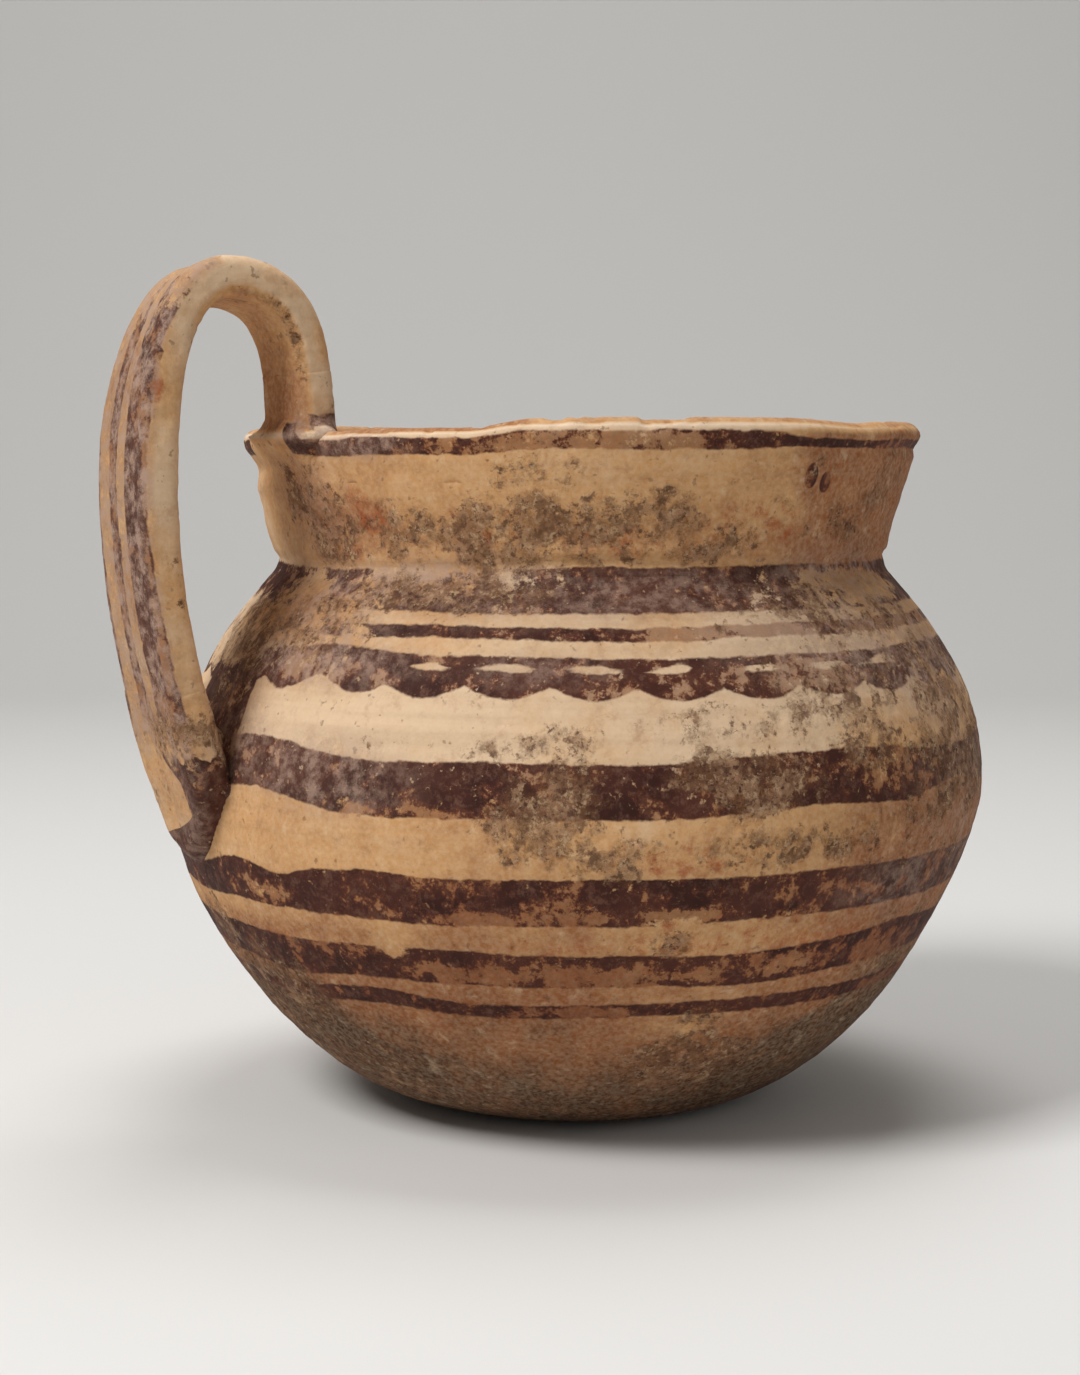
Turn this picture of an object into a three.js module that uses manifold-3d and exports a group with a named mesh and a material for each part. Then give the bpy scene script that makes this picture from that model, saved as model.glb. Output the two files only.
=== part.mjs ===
// A handmade dipper jug: a round-bellied pot with a flared collar and one strap
// handle that swings high above the rim. Millimetres, +Z up. The origin is the
// centre of the flat base, and the handle stands on the -X side.
//
// The pieces are those that a potter makes and joins: a pressed base, the wall
// rings built up on it, a collar, a lip coil, a strap, and the clay that lutes
// each strap end to the pot.

import * as THREE from 'three';
import { mergeVertices } from 'three/addons/utils/BufferGeometryUtils.js';
import Module from 'manifold-3d';

const wasm = await Module();
wasm.setup();
const { Manifold, Mesh } = wasm;

// Driving sizes of the pot, outside.
const BASE_RADIUS = 31;
const BELLY_RADIUS = 85.4;
const BELLY_HEIGHT = 65;
const CREASE_RADIUS = 63.8;
const CREASE_HEIGHT = 111.5;
const CREASE_DEPTH = 1;
const RIM_RADIUS = 70.4;
const RIM_HEIGHT = 140.5;

// Where one ring of clay ends and the next is set on it. The belly's widest
// line and the crease are seams too.
const BASE_SEAM_HEIGHT = 9;
const BOTTOM_SEAM_HEIGHT = 21;
const LOWER_SEAM_HEIGHT = 42;
const SHOULDER_SEAM_HEIGHT = 90;
const LIP_COIL_HEIGHT = 11;
const LAP_SLANT = 3;

// Thickness of the clay.
const FLOOR_THICKNESS = 7;
const WALL_THICKNESS = 6.4;
const LIP_THICKNESS = 5;

// How far the upper pot leans away from its handle, and the heights between
// which the lean comes in.
const LEAN = 2.5;
const LEAN_FROM = 40;
const LEAN_TO = 90;

// The strap's middle line: how high it rises over the rim, how far it stands
// out from the belly, how far below the rim it reaches out most, and how deep
// its two ends go down.
const STRAP_RISE = 26.5;
const STRAP_OVERHANG = 12;
const STRAP_REACH_DROP = 11;
const STRAP_ROOT_DEPTH = 15;
const STRAP_FOOT_DROP = 13;
const STRAP_END_SINK = 3.2;

// The strap's section along its length, the length over which its foot draws in
// to a tongue, its roll over the top, and how far its two ends stand to either
// side of the handle's plane.
const STRAP_THICKNESS = 7.8;
const STRAP_EDGE_ROUND = 2.6;
const STRAP_WIDTH_RIM = 16;
const STRAP_WIDTH_TOP = 19;
const STRAP_WIDTH_OUTER = 24.6;
const STRAP_WIDTH_FOOT = 28;
const STRAP_WIDTH_TIP = 7;
const STRAP_TONGUE_LENGTH = 22;
const STRAP_ROLL_DEGREES = 5;
const STRAP_SKEW = 3.5;

// The luting clay round each strap end: how far it spreads from the strap, its
// thin edge, and how far up the strap it was pressed.
const LUTING_SPREAD = 3.4;
const LUTING_EDGE = 0.9;
const LUTING_INSET = 1.5;
const TOP_LUTING_LENGTH = 8;
const FOOT_LUTING_LENGTH = 36;

// Pieces that are cut to fit each other stay this far apart.
const FIT_GAP = 0.3;

// Facets.
const AROUND = 60;
const STRAP_STEPS = 44;
const LUTING_STEPS = 14;
const LIP_STEPS = 6;
const CORNER_STEPS = 3;

const v2 = (x, y) => new THREE.Vector2(x, y);
const mix = THREE.MathUtils.lerp;

const clay = (color, roughness) =>
  new THREE.MeshStandardMaterial({ color, roughness, metalness: 0 });

// The outside line of the pot, from the edge of the flat base to the lip. Each
// stretch is one curve and leaves the last one smoothly. The short one under
// the collar is the crease where the collar was set on the shoulder.
const lipStart = RIM_HEIGHT - LIP_THICKNESS / 2;
const bellySpan = BELLY_RADIUS - BASE_RADIUS;
const shoulderSpan = BELLY_RADIUS - CREASE_RADIUS;
const collarFlare = RIM_RADIUS - CREASE_RADIUS;
const creaseLow = CREASE_HEIGHT - 1.5 * CREASE_DEPTH;
const creaseTop = CREASE_HEIGHT + 4 * CREASE_DEPTH;

const lowerCurve = new THREE.CubicBezierCurve(
  v2(BASE_RADIUS, 0),
  v2(BASE_RADIUS + 0.48 * bellySpan, 0.03 * BELLY_HEIGHT),
  v2(BELLY_RADIUS - 0.035 * bellySpan, 0.65 * BELLY_HEIGHT),
  v2(BELLY_RADIUS, BELLY_HEIGHT),
);
const shoulderCurve = new THREE.CubicBezierCurve(
  v2(BELLY_RADIUS, BELLY_HEIGHT),
  v2(BELLY_RADIUS, mix(BELLY_HEIGHT, CREASE_HEIGHT, 0.4)),
  v2(CREASE_RADIUS + 0.585 * shoulderSpan, mix(BELLY_HEIGHT, CREASE_HEIGHT, 0.7)),
  v2(CREASE_RADIUS + CREASE_DEPTH, creaseLow),
);
const creaseCurve = new THREE.CubicBezierCurve(
  v2(CREASE_RADIUS + CREASE_DEPTH, creaseLow),
  v2(CREASE_RADIUS - 0.2 * CREASE_DEPTH, CREASE_HEIGHT),
  v2(CREASE_RADIUS - 0.1 * CREASE_DEPTH, CREASE_HEIGHT + 2 * CREASE_DEPTH),
  v2(CREASE_RADIUS + 0.4 * CREASE_DEPTH, creaseTop),
);
const collarCurve = new THREE.CubicBezierCurve(
  v2(CREASE_RADIUS + 0.4 * CREASE_DEPTH, creaseTop),
  v2(CREASE_RADIUS + 0.3 * collarFlare, mix(creaseTop, lipStart, 0.33)),
  v2(RIM_RADIUS - 0.25 * collarFlare, mix(creaseTop, lipStart, 0.62)),
  v2(RIM_RADIUS, lipStart),
);

// The share of a rising or falling curve at which it passes a height.
function shareAtHeight(curve, height, from = 0, to = 1) {
  const rising = curve.getPoint(to).y > curve.getPoint(from).y;
  let [low, high] = [from, to];
  for (let i = 0; i < 40; i += 1) {
    const middle = (low + high) / 2;
    if (curve.getPoint(middle).y < height === rising) low = middle;
    else high = middle;
  }
  return low;
}

// Wall thickness at a height: thick floor, even wall, thinner at the lip.
function thicknessAt(z) {
  const low = Math.min(z / (BELLY_HEIGHT / 2), 1);
  const high = Math.max((z - CREASE_HEIGHT) / (lipStart - CREASE_HEIGHT), 0);
  return mix(mix(FLOOR_THICKNESS, WALL_THICKNESS, low), LIP_THICKNESS, high);
}

// A stretch of wall: outside points along a curve and, straight through the
// clay from each, its inside point.
function wallStretch(curve, from, to, steps) {
  const stretch = [];
  for (let i = 0; i <= steps; i += 1) {
    const share = mix(from, to, i / steps);
    const outside = curve.getPoint(share);
    const along = curve.getTangent(share);
    const inward = v2(-along.y, along.x);
    const inside = outside.clone().addScaledVector(inward, thicknessAt(outside.y));
    stretch.push({ outside, inside });
  }
  return stretch;
}

const baseShare = shareAtHeight(lowerCurve, BASE_SEAM_HEIGHT);
const bottomShare = shareAtHeight(lowerCurve, BOTTOM_SEAM_HEIGHT);
const lowerShare = shareAtHeight(lowerCurve, LOWER_SEAM_HEIGHT);
const shoulderShare = shareAtHeight(shoulderCurve, SHOULDER_SEAM_HEIGHT);
const lipShare = shareAtHeight(collarCurve, RIM_HEIGHT - LIP_COIL_HEIGHT);

const baseWall = wallStretch(lowerCurve, 0, baseShare, 4);
const bottomWall = wallStretch(lowerCurve, baseShare, bottomShare, 3);
const lowerWall = wallStretch(lowerCurve, bottomShare, lowerShare, 4);
const bellyWall = wallStretch(lowerCurve, lowerShare, 1, 4);
const shoulderWall = wallStretch(shoulderCurve, 0, shoulderShare, 4);
const neckWall = [
  ...wallStretch(shoulderCurve, shoulderShare, 1, 4),
  ...wallStretch(creaseCurve, 0, 0.5, 2).slice(1),
];
const collarWall = [
  ...wallStretch(creaseCurve, 0.5, 1, 2),
  ...wallStretch(collarCurve, 0, lipShare, 4).slice(1),
];
const lipWall = wallStretch(collarCurve, lipShare, 1, 3);
const wholeWall = [
  ...baseWall, ...bottomWall.slice(1), ...lowerWall.slice(1),
  ...bellyWall.slice(1), ...shoulderWall.slice(1), ...neckWall.slice(1),
  ...collarWall.slice(1), ...lipWall.slice(1),
];

// Seams are slanted laps: the inside end of each seam slides down the inside
// wall towards the station below it.
function lapPoint(below, at) {
  const down = below.inside.clone().sub(at.inside);
  const slide = Math.min(LAP_SLANT / down.length(), 0.9);
  return at.inside.clone().addScaledVector(down, slide);
}

const lapUnder = (wall) => lapPoint(wall[wall.length - 2], wall[wall.length - 1]);

// Inside points of a ring from its lower lap up to its upper one. The station
// above the lower lap keeps its own inside point.
function insideLine(lowerLap, wall) {
  const middle = wall.slice(0, -1).map((station) => station.inside);
  return [lowerLap, ...middle, lapUnder(wall)];
}

// Moves every point of a piece sideways with the pot's lean.
function lean(geometry) {
  const position = geometry.getAttribute('position');
  for (let i = 0; i < position.count; i += 1) {
    const t = THREE.MathUtils.smoothstep(position.getZ(i), LEAN_FROM, LEAN_TO);
    position.setX(i, position.getX(i) + LEAN * t);
  }
  return geometry;
}

// Turns a closed profile of (radius, height) points round the Z axis.
function turned(profile) {
  const geometry = new THREE.LatheGeometry(profile, AROUND);
  geometry.rotateX(Math.PI / 2);
  return solid(lean(geometry));
}

// Makes a closed, welded solid of a geometry, with its faces outward.
function solid(geometry) {
  const bare = new THREE.BufferGeometry();
  bare.setAttribute('position', geometry.getAttribute('position'));
  bare.setIndex(geometry.getIndex());
  const welded = mergeVertices(bare, 1e-4);
  const corner = welded.getIndex().array;
  const kept = [];
  for (let i = 0; i < corner.length; i += 3) {
    const [a, b, c] = corner.slice(i, i + 3);
    if (a !== b && b !== c && c !== a) kept.push(a, b, c);
  }
  const position = welded.getAttribute('position').array;
  if (volume(position, kept) < 0) kept.reverse();
  return new Manifold(new Mesh({
    numProp: 3,
    vertProperties: new Float32Array(position),
    triVerts: new Uint32Array(kept),
  }));
}

function volume(position, corner) {
  const at = (i) => new THREE.Vector3().fromArray(position, corner[i] * 3);
  let sum = 0;
  for (let i = 0; i < corner.length; i += 3) {
    sum += at(i).dot(at(i + 1).cross(at(i + 2))) / 6;
  }
  return sum;
}

// One ring of the wall, standing on the ring whose wall is given first.
function wallRing(wallBelow, wall) {
  const outside = wall.map((station) => station.outside);
  const inside = insideLine(lapUnder(wallBelow), wall).reverse();
  return turned([...outside, ...inside, outside[0]]);
}

function basePiece() {
  const outside = baseWall.map((station) => station.outside);
  const inside = baseWall.slice(0, -1).map((station) => station.inside);
  const lap = lapUnder(baseWall);
  return turned([
    v2(0, 0), ...outside, lap, ...inside.reverse(), v2(0, FLOOR_THICKNESS),
  ]);
}

// The lip is a half circle from the last outside point to the last inside one.
function lipArc() {
  const { outside, inside } = lipWall[lipWall.length - 1];
  const middle = outside.clone().lerp(inside, 0.5);
  const points = [];
  for (let i = 1; i < LIP_STEPS; i += 1) {
    points.push(outside.clone().rotateAround(middle, (Math.PI * i) / LIP_STEPS));
  }
  return points;
}

function lipPiece() {
  const outside = lipWall.map((station) => station.outside);
  const inside = lipWall.map((station) => station.inside);
  const lap = lapUnder(collarWall);
  return turned([...outside, ...lipArc(), ...inside.reverse(), lap, outside[0]]);
}

// The room that the pot takes, filled to its axis and grown by the fit gap.
// Whatever is set on the pot is cut with it.
function potRoom() {
  const grown = wholeWall.map(({ outside, inside }) => {
    const out = outside.clone().sub(inside).normalize();
    return outside.clone().addScaledVector(out, FIT_GAP);
  });
  const arc = lipArc().slice(0, LIP_STEPS / 2);
  const top = arc.map((p) => v2(p.x + FIT_GAP, p.y + FIT_GAP));
  const high = top[top.length - 1].y;
  return turned([v2(0, -FIT_GAP), ...grown, ...top, v2(0, high)]);
}

// The strap's middle line, seen from the side as (distance from axis, height):
// up from the rim, over the top, out to its reach and down into the belly.
const strapTop = RIM_HEIGHT + STRAP_RISE;
const strapReach = BELLY_RADIUS + STRAP_OVERHANG;
const reachHeight = RIM_HEIGHT - STRAP_REACH_DROP;
const rimMiddle = RIM_RADIUS - 0.85 * LIP_THICKNESS;
const topRadius = mix(rimMiddle, strapReach, 0.51);
const topInward = topRadius - rimMiddle;
const footRadius = BELLY_RADIUS - STRAP_THICKNESS / 2 - STRAP_END_SINK;
const footHeight = BELLY_HEIGHT - STRAP_FOOT_DROP;
const fall = reachHeight - footHeight;
const over = strapReach - topRadius;

const strapPath = new THREE.CurvePath();
strapPath.add(new THREE.CubicBezierCurve(
  v2(rimMiddle - STRAP_END_SINK, RIM_HEIGHT - STRAP_ROOT_DEPTH),
  v2(rimMiddle + 0.22 * STRAP_END_SINK, RIM_HEIGHT + 0.06 * STRAP_RISE),
  v2(topRadius - 1.43 * topInward, strapTop),
  v2(topRadius, strapTop),
));
strapPath.add(new THREE.CubicBezierCurve(
  v2(topRadius, strapTop),
  v2(topRadius + 0.56 * over, strapTop),
  v2(strapReach, mix(strapTop, reachHeight, 0.43)),
  v2(strapReach, reachHeight),
));
strapPath.add(new THREE.CubicBezierCurve(
  v2(strapReach, reachHeight),
  v2(strapReach, reachHeight - 0.31 * fall),
  v2(mix(strapReach, footRadius, 0.4), footHeight + 0.29 * fall),
  v2(footRadius, footHeight),
));
const strapLength = strapPath.getLength();

// Width of the strap at a share of its length: narrow at the rim, wide below,
// and drawn in to a tongue at the foot.
function strapWidth(t) {
  if (t < 0.3) return mix(STRAP_WIDTH_RIM, STRAP_WIDTH_TOP, t / 0.3);
  if (t < 0.5) return mix(STRAP_WIDTH_TOP, STRAP_WIDTH_OUTER, (t - 0.3) / 0.2);
  const wide = mix(STRAP_WIDTH_OUTER, STRAP_WIDTH_FOOT, (t - 0.5) / 0.5);
  const fromTip = (1 - t) * strapLength;
  const full = THREE.MathUtils.smoothstep(fromTip, 0, STRAP_TONGUE_LENGTH);
  return mix(STRAP_WIDTH_TIP, wide, full);
}

// A rectangle with rounded corners, as (across, outward) points.
function strapSection(width, thickness, round) {
  const points = [];
  [[1, 1], [-1, 1], [-1, -1], [1, -1]].forEach(([sx, sy], corner) => {
    for (let i = 0; i <= CORNER_STEPS; i += 1) {
      const angle = (Math.PI / 2) * (corner + i / CORNER_STEPS);
      points.push(v2(
        sx * (width / 2 - round) + round * Math.cos(angle),
        sy * (thickness / 2 - round) + round * Math.sin(angle),
      ));
    }
  });
  return points;
}

// Sweeps the strap's section along its middle line from share t0 to share t1,
// with the section grown on every side by grow(t).
function strapSweep(t0, t1, steps, grow) {
  const position = [];
  const index = [];
  const ring = 4 * (CORNER_STEPS + 1);
  for (let k = 0; k <= steps; k += 1) {
    const t = mix(t0, t1, k / steps);
    const middle = strapPath.getPointAt(t);
    const along = strapPath.getTangentAt(t);
    const out = v2(-along.y, along.x);
    const overTop = Math.sin(Math.PI * Math.min(2 * t, 1));
    const roll = THREE.MathUtils.degToRad(STRAP_ROLL_DEGREES) * overTop;
    const section = strapSection(
      strapWidth(t) + 2 * grow(t),
      STRAP_THICKNESS + 2 * grow(t),
      STRAP_EDGE_ROUND + grow(t),
    );
    section.forEach((point) => {
      point.rotateAround(v2(0, 0), -roll);
      const side = middle.clone().addScaledVector(out, point.y);
      position.push(-side.x, point.x + mix(-STRAP_SKEW, STRAP_SKEW, t), side.y);
    });
  }
  for (let k = 0; k < steps; k += 1) {
    for (let i = 0; i < ring; i += 1) {
      const a = k * ring + i;
      const b = k * ring + ((i + 1) % ring);
      index.push(a, b, b + ring, a, b + ring, a + ring);
    }
  }
  const end = steps * ring;
  for (let i = 1; i < ring - 1; i += 1) {
    index.push(0, i + 1, i, end, end + i, end + i + 1);
  }
  const geometry = new THREE.BufferGeometry();
  geometry.setAttribute('position', new THREE.Float32BufferAttribute(position, 3));
  geometry.setIndex(index);
  return solid(geometry);
}

const pot = potRoom();
const strapRoom = strapSweep(0, 1, STRAP_STEPS, () => FIT_GAP);
const strapPiece = () => strapSweep(0, 1, STRAP_STEPS, () => 0).subtract(pot);

// Luting clay stands round a strap end. It swells from a thin edge on the
// strap to its full spread where the strap meets the pot, and dies away into
// the pot's wall at the strap's end.
function lutingPiece(t0, t1, fullest) {
  const spread = (t) => {
    const edge = t < fullest ? t0 : t1;
    const swell = Math.cos((Math.PI / 2) * ((t - fullest) / (edge - fullest)));
    return mix(LUTING_EDGE, LUTING_SPREAD, swell);
  };
  return strapSweep(t0, t1, LUTING_STEPS, spread).subtract(strapRoom).subtract(pot);
}

// Where the strap's middle line rises over the rim, and where it comes down
// past the belly's widest line, as shares of its length.
function shareAlongStrap(height, from, to) {
  const line = { getPoint: (t) => strapPath.getPointAt(t) };
  return shareAtHeight(line, height, from, to);
}

const inset = LUTING_INSET / strapLength;
const rimShare = shareAlongStrap(RIM_HEIGHT, 0, 0.2);
const bellyShare = shareAlongStrap(BELLY_HEIGHT, 0.6, 1);
const topLutingEnd = rimShare + TOP_LUTING_LENGTH / strapLength;
const footLutingStart = 1 - FOOT_LUTING_LENGTH / strapLength;

const group = new THREE.Group();
group.name = 'dipper_jug';

function add(name, body, material) {
  const mesh = body.getMesh();
  const geometry = new THREE.BufferGeometry();
  geometry.setAttribute('position', new THREE.BufferAttribute(mesh.vertProperties, 3));
  geometry.setIndex(new THREE.BufferAttribute(mesh.triVerts, 1));
  geometry.computeVertexNormals();
  const piece = new THREE.Mesh(geometry, material);
  piece.name = name;
  group.add(piece);
}

add('base', basePiece(), clay(0x8f6a48, 0.9));
add('bottom_ring', wallRing(baseWall, bottomWall), clay(0x966f4c, 0.89));
add('lower_wall', wallRing(bottomWall, lowerWall), clay(0x9c7450, 0.88));
add('belly_wall', wallRing(lowerWall, bellyWall), clay(0xa9805a, 0.88));
add('shoulder', wallRing(bellyWall, shoulderWall), clay(0xd0b28c, 0.85));
add('neck_ring', wallRing(shoulderWall, neckWall), clay(0x97765a, 0.86));
add('collar', wallRing(neckWall, collarWall), clay(0xb0916c, 0.88));
add('rim_lip', lipPiece(), clay(0x6d5550, 0.85));
add('handle_strap', strapPiece(), clay(0xb79a7e, 0.86));
add('handle_top_luting',
  lutingPiece(inset, topLutingEnd, rimShare), clay(0x84706a, 0.88));
add('handle_foot_luting',
  lutingPiece(footLutingStart, 1 - inset, bellyShare), clay(0x5d4a44, 0.88));

export default group;
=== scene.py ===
# %% [markdown]
# # A handmade, matt-painted dipper jug
#
# A round-bellied pot with a flared collar and one strap handle that swings
# high above the rim. It was built up by hand from rings of clay, wiped smooth,
# coated with a thin cream slip and painted with bands before it was fired.
#
# The CAD frame holds the real pieces of clay. This script dresses each of them
# in a fine skin: the same outline with the unevenness of handwork, the crust
# of long burial, and worn paint. Sizes here are in millimetres and are turned
# into metres only where a mesh is made.

# %% The frame
import math

import bpy
import numpy as np
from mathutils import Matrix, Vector


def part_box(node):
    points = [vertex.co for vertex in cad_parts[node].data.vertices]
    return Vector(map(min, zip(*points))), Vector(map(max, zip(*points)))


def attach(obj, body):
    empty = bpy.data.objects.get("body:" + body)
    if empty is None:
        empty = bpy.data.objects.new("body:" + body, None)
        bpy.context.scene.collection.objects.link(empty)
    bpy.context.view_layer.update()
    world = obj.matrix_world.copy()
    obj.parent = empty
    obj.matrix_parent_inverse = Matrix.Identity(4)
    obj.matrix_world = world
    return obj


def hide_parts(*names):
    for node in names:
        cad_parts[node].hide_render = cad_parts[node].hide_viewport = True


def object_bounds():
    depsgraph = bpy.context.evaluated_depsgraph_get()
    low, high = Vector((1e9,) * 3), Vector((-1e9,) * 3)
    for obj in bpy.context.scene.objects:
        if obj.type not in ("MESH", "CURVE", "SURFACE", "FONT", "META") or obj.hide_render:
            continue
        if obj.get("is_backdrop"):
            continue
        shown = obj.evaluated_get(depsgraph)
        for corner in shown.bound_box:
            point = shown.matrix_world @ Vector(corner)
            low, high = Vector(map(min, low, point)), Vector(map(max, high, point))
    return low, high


MM = 0.001
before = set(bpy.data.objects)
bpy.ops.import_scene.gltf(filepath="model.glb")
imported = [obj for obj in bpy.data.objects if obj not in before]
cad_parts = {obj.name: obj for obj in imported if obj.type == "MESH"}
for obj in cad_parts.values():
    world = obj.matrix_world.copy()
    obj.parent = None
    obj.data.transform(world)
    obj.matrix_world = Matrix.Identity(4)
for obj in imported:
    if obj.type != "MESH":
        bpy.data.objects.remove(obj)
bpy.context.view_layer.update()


def box_mm(node):
    """Lowest and highest corner of a CAD node, in millimetres."""
    low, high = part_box(node)
    return np.array(low) / MM, np.array(high) / MM


# %% [markdown]
# ## Driving sizes
#
# The radii of the rim and the belly and the rim's height are read off the
# frame's pieces. What can't be read from a box, such as the height of the widest
# belly, the crease and the clay's thickness, is named here as it is in the CAD
# source. Azimuths are degrees round the pot from +X. The handle is at 180, and
# 238 faces the camera.

# %% Driving sizes
RIM_RADIUS = box_mm("rim_lip")[1][1]
RIM_HEIGHT = box_mm("rim_lip")[1][2]
BELLY_RADIUS = box_mm("belly_wall")[1][1]
BELLY_HEIGHT = 65.0
BASE_RADIUS = 31.0
CREASE_RADIUS = 63.8
CREASE_HEIGHT = 111.5
CREASE_DEPTH = 1.0
FLOOR_THICKNESS = 7.0
WALL_THICKNESS = 6.4
LIP_THICKNESS = 5.0
LEAN, LEAN_FROM, LEAN_TO = 2.5, 40.0, 90.0

FRONT_AZIMUTH = 238.0
GRID_MM = 0.75
print("rim", RIM_RADIUS, RIM_HEIGHT, "belly", BELLY_RADIUS, BELLY_HEIGHT)


# %% [markdown]
# ## Random but repeatable texture
#
# Nothing on a handmade pot is quite even. A sculpted mesh or a displacement
# modifier could show that, but both are hard to repeat. Here one function gives
# smooth random values at any points in space, so two pieces that meet get the
# same value on their shared edge and no seam shows.

# %% Smooth random values
TABLE_SIZE = 8192
SPREAD = (73856093, 19349663, 83492791)


def lattice_noise(points, cell, seed):
    """Smooth random values between -1 and 1 at an array of points.

    Space is cut into cubes with sides of `cell`. Each corner has a random
    value, drawn from a table by multiplying its three numbers by large primes.
    Inside a cube the eight corners are blended with the curve 6t^5 - 15t^4 +
    10t^3 along each axis. `cell` may be one size or three.
    """
    table = np.random.default_rng(seed).uniform(-1, 1, TABLE_SIZE)
    place = points / np.asarray(cell, float)
    corner = np.floor(place).astype(np.int64)
    part = place - corner
    part = part**3 * (part * (part * 6 - 15) + 10)
    total = np.zeros(points.shape[:-1])
    for step in np.ndindex(2, 2, 2):
        c = corner + np.array(step)
        key = (c[..., 0] * SPREAD[0]) ^ (c[..., 1] * SPREAD[1]) ^ (c[..., 2] * SPREAD[2])
        weight = np.where(np.array(step) == 1, part, 1 - part).prod(axis=-1)
        total += weight * table[key % TABLE_SIZE]
    return total


def rough_noise(points, cell, seed, octaves=3):
    """Sum of lattice noises, each half as large and twice as fine as the last."""
    total = np.zeros(points.shape[:-1])
    for k in range(octaves):
        total += lattice_noise(points, np.asarray(cell, float) / 2**k, seed + k) / 2**k
    return total


# %% [markdown]
# Most of what follows fades in and out: a swelling, a patch of crust, the end
# of a stripe. Two small functions draw all of those fades, and two more measure
# how far round the pot a point lies.

# %% Fades and turns
def smooth_step(low, high, x):
    """0 below `low`, 1 above `high`, and 3t^2 - 2t^3 between them."""
    t = np.clip((x - low) / (high - low), 0, 1)
    return t * t * (3 - 2 * t)


def bump(x, middle, half_width):
    """A smooth hill: 1 at `middle`, 0 beyond `half_width` to either side."""
    return smooth_step(half_width, 0, np.abs(x - middle))


def turn_from(azimuth, middle):
    """Degrees from `middle` to `azimuth`, between -180 and 180."""
    return (azimuth - middle + 180) % 360 - 180


def right_of_front(from_front, start, end):
    """Rises from 0 to 1 between two angles right of the front, and falls to 0 behind."""
    return smooth_step(start, end, from_front) * smooth_step(178, 110, from_front)


# %% [markdown]
# ## The outline of the pot
#
# A pot is a line turned round an axis. Blender's Screw modifier could turn it,
# but then every ring of clay would share one mesh, so the line is made here and
# turned by numpy, ring by ring. Each stretch of the outside is a Bezier curve,
# with the same points as in the CAD source.

# %% The outside
def bezier(points, share):
    """Points of a cubic Bezier curve at an array of shares between 0 and 1.

    At a share t it is (1-t)^3 a + 3t (1-t)^2 b + 3t^2 (1-t) c + t^3 d.
    """
    a, b, c, d = (np.array(p, float) for p in points)
    t = share[:, None]
    return (1 - t) ** 3 * a + 3 * t * (1 - t) ** 2 * b + 3 * t * t * (1 - t) * c + t**3 * d


def mix(a, b, t):
    """Goes from `a` to `b` as `t` goes from 0 to 1."""
    return a + (b - a) * t


def normals_of(line):
    """Unit vectors square to a line of points, to the right of its direction.

    A quarter turn makes (y, -x) of a direction (x, y).
    """
    along = np.gradient(line, axis=0)
    along /= np.linalg.norm(along, axis=1)[:, None]
    return np.stack([along[:, 1], -along[:, 0]], axis=1)


lip_start = RIM_HEIGHT - LIP_THICKNESS / 2
belly_span = BELLY_RADIUS - BASE_RADIUS
shoulder_span = BELLY_RADIUS - CREASE_RADIUS
flare = RIM_RADIUS - CREASE_RADIUS
crease_low = CREASE_HEIGHT - 1.5 * CREASE_DEPTH
crease_top = CREASE_HEIGHT + 4 * CREASE_DEPTH
stretches = [
    [
        (BASE_RADIUS, 0),
        (BASE_RADIUS + 0.48 * belly_span, 0.03 * BELLY_HEIGHT),
        (BELLY_RADIUS - 0.035 * belly_span, 0.65 * BELLY_HEIGHT),
        (BELLY_RADIUS, BELLY_HEIGHT),
    ],
    [
        (BELLY_RADIUS, BELLY_HEIGHT),
        (BELLY_RADIUS, mix(BELLY_HEIGHT, CREASE_HEIGHT, 0.4)),
        (CREASE_RADIUS + 0.585 * shoulder_span, mix(BELLY_HEIGHT, CREASE_HEIGHT, 0.7)),
        (CREASE_RADIUS + CREASE_DEPTH, crease_low),
    ],
    [
        (CREASE_RADIUS + CREASE_DEPTH, crease_low),
        (CREASE_RADIUS - 0.2 * CREASE_DEPTH, CREASE_HEIGHT),
        (CREASE_RADIUS - 0.1 * CREASE_DEPTH, CREASE_HEIGHT + 2 * CREASE_DEPTH),
        (CREASE_RADIUS + 0.4 * CREASE_DEPTH, crease_top),
    ],
    [
        (CREASE_RADIUS + 0.4 * CREASE_DEPTH, crease_top),
        (CREASE_RADIUS + 0.3 * flare, mix(crease_top, lip_start, 0.33)),
        (RIM_RADIUS - 0.25 * flare, mix(crease_top, lip_start, 0.62)),
        (RIM_RADIUS, lip_start),
    ],
]


# %% [markdown]
# The inside isn't seen in the photo. A potter keeps the wall about as thick all
# the way up, so the inside is the outside moved inward by the thickness of the
# clay. The whole skin is one line: it starts on the axis under the base, runs
# up the outside, over the rounded lip, down the inside and back to the axis.

# %% The inside, the lip and the whole line
def thickness_at(z):
    """Thickness of the clay: thick at the floor, even up the wall, thin at the lip.

    It changes in proportion to the height, from the floor's to the wall's over
    half the belly's height, and from the wall's to the lip's over the collar.
    """
    low = np.clip(z / (BELLY_HEIGHT / 2), 0, 1)
    high = np.clip((z - CREASE_HEIGHT) / (lip_start - CREASE_HEIGHT), 0, 1)
    wall = mix(FLOOR_THICKNESS, WALL_THICKNESS, low)
    return mix(wall, LIP_THICKNESS, high)


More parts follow.
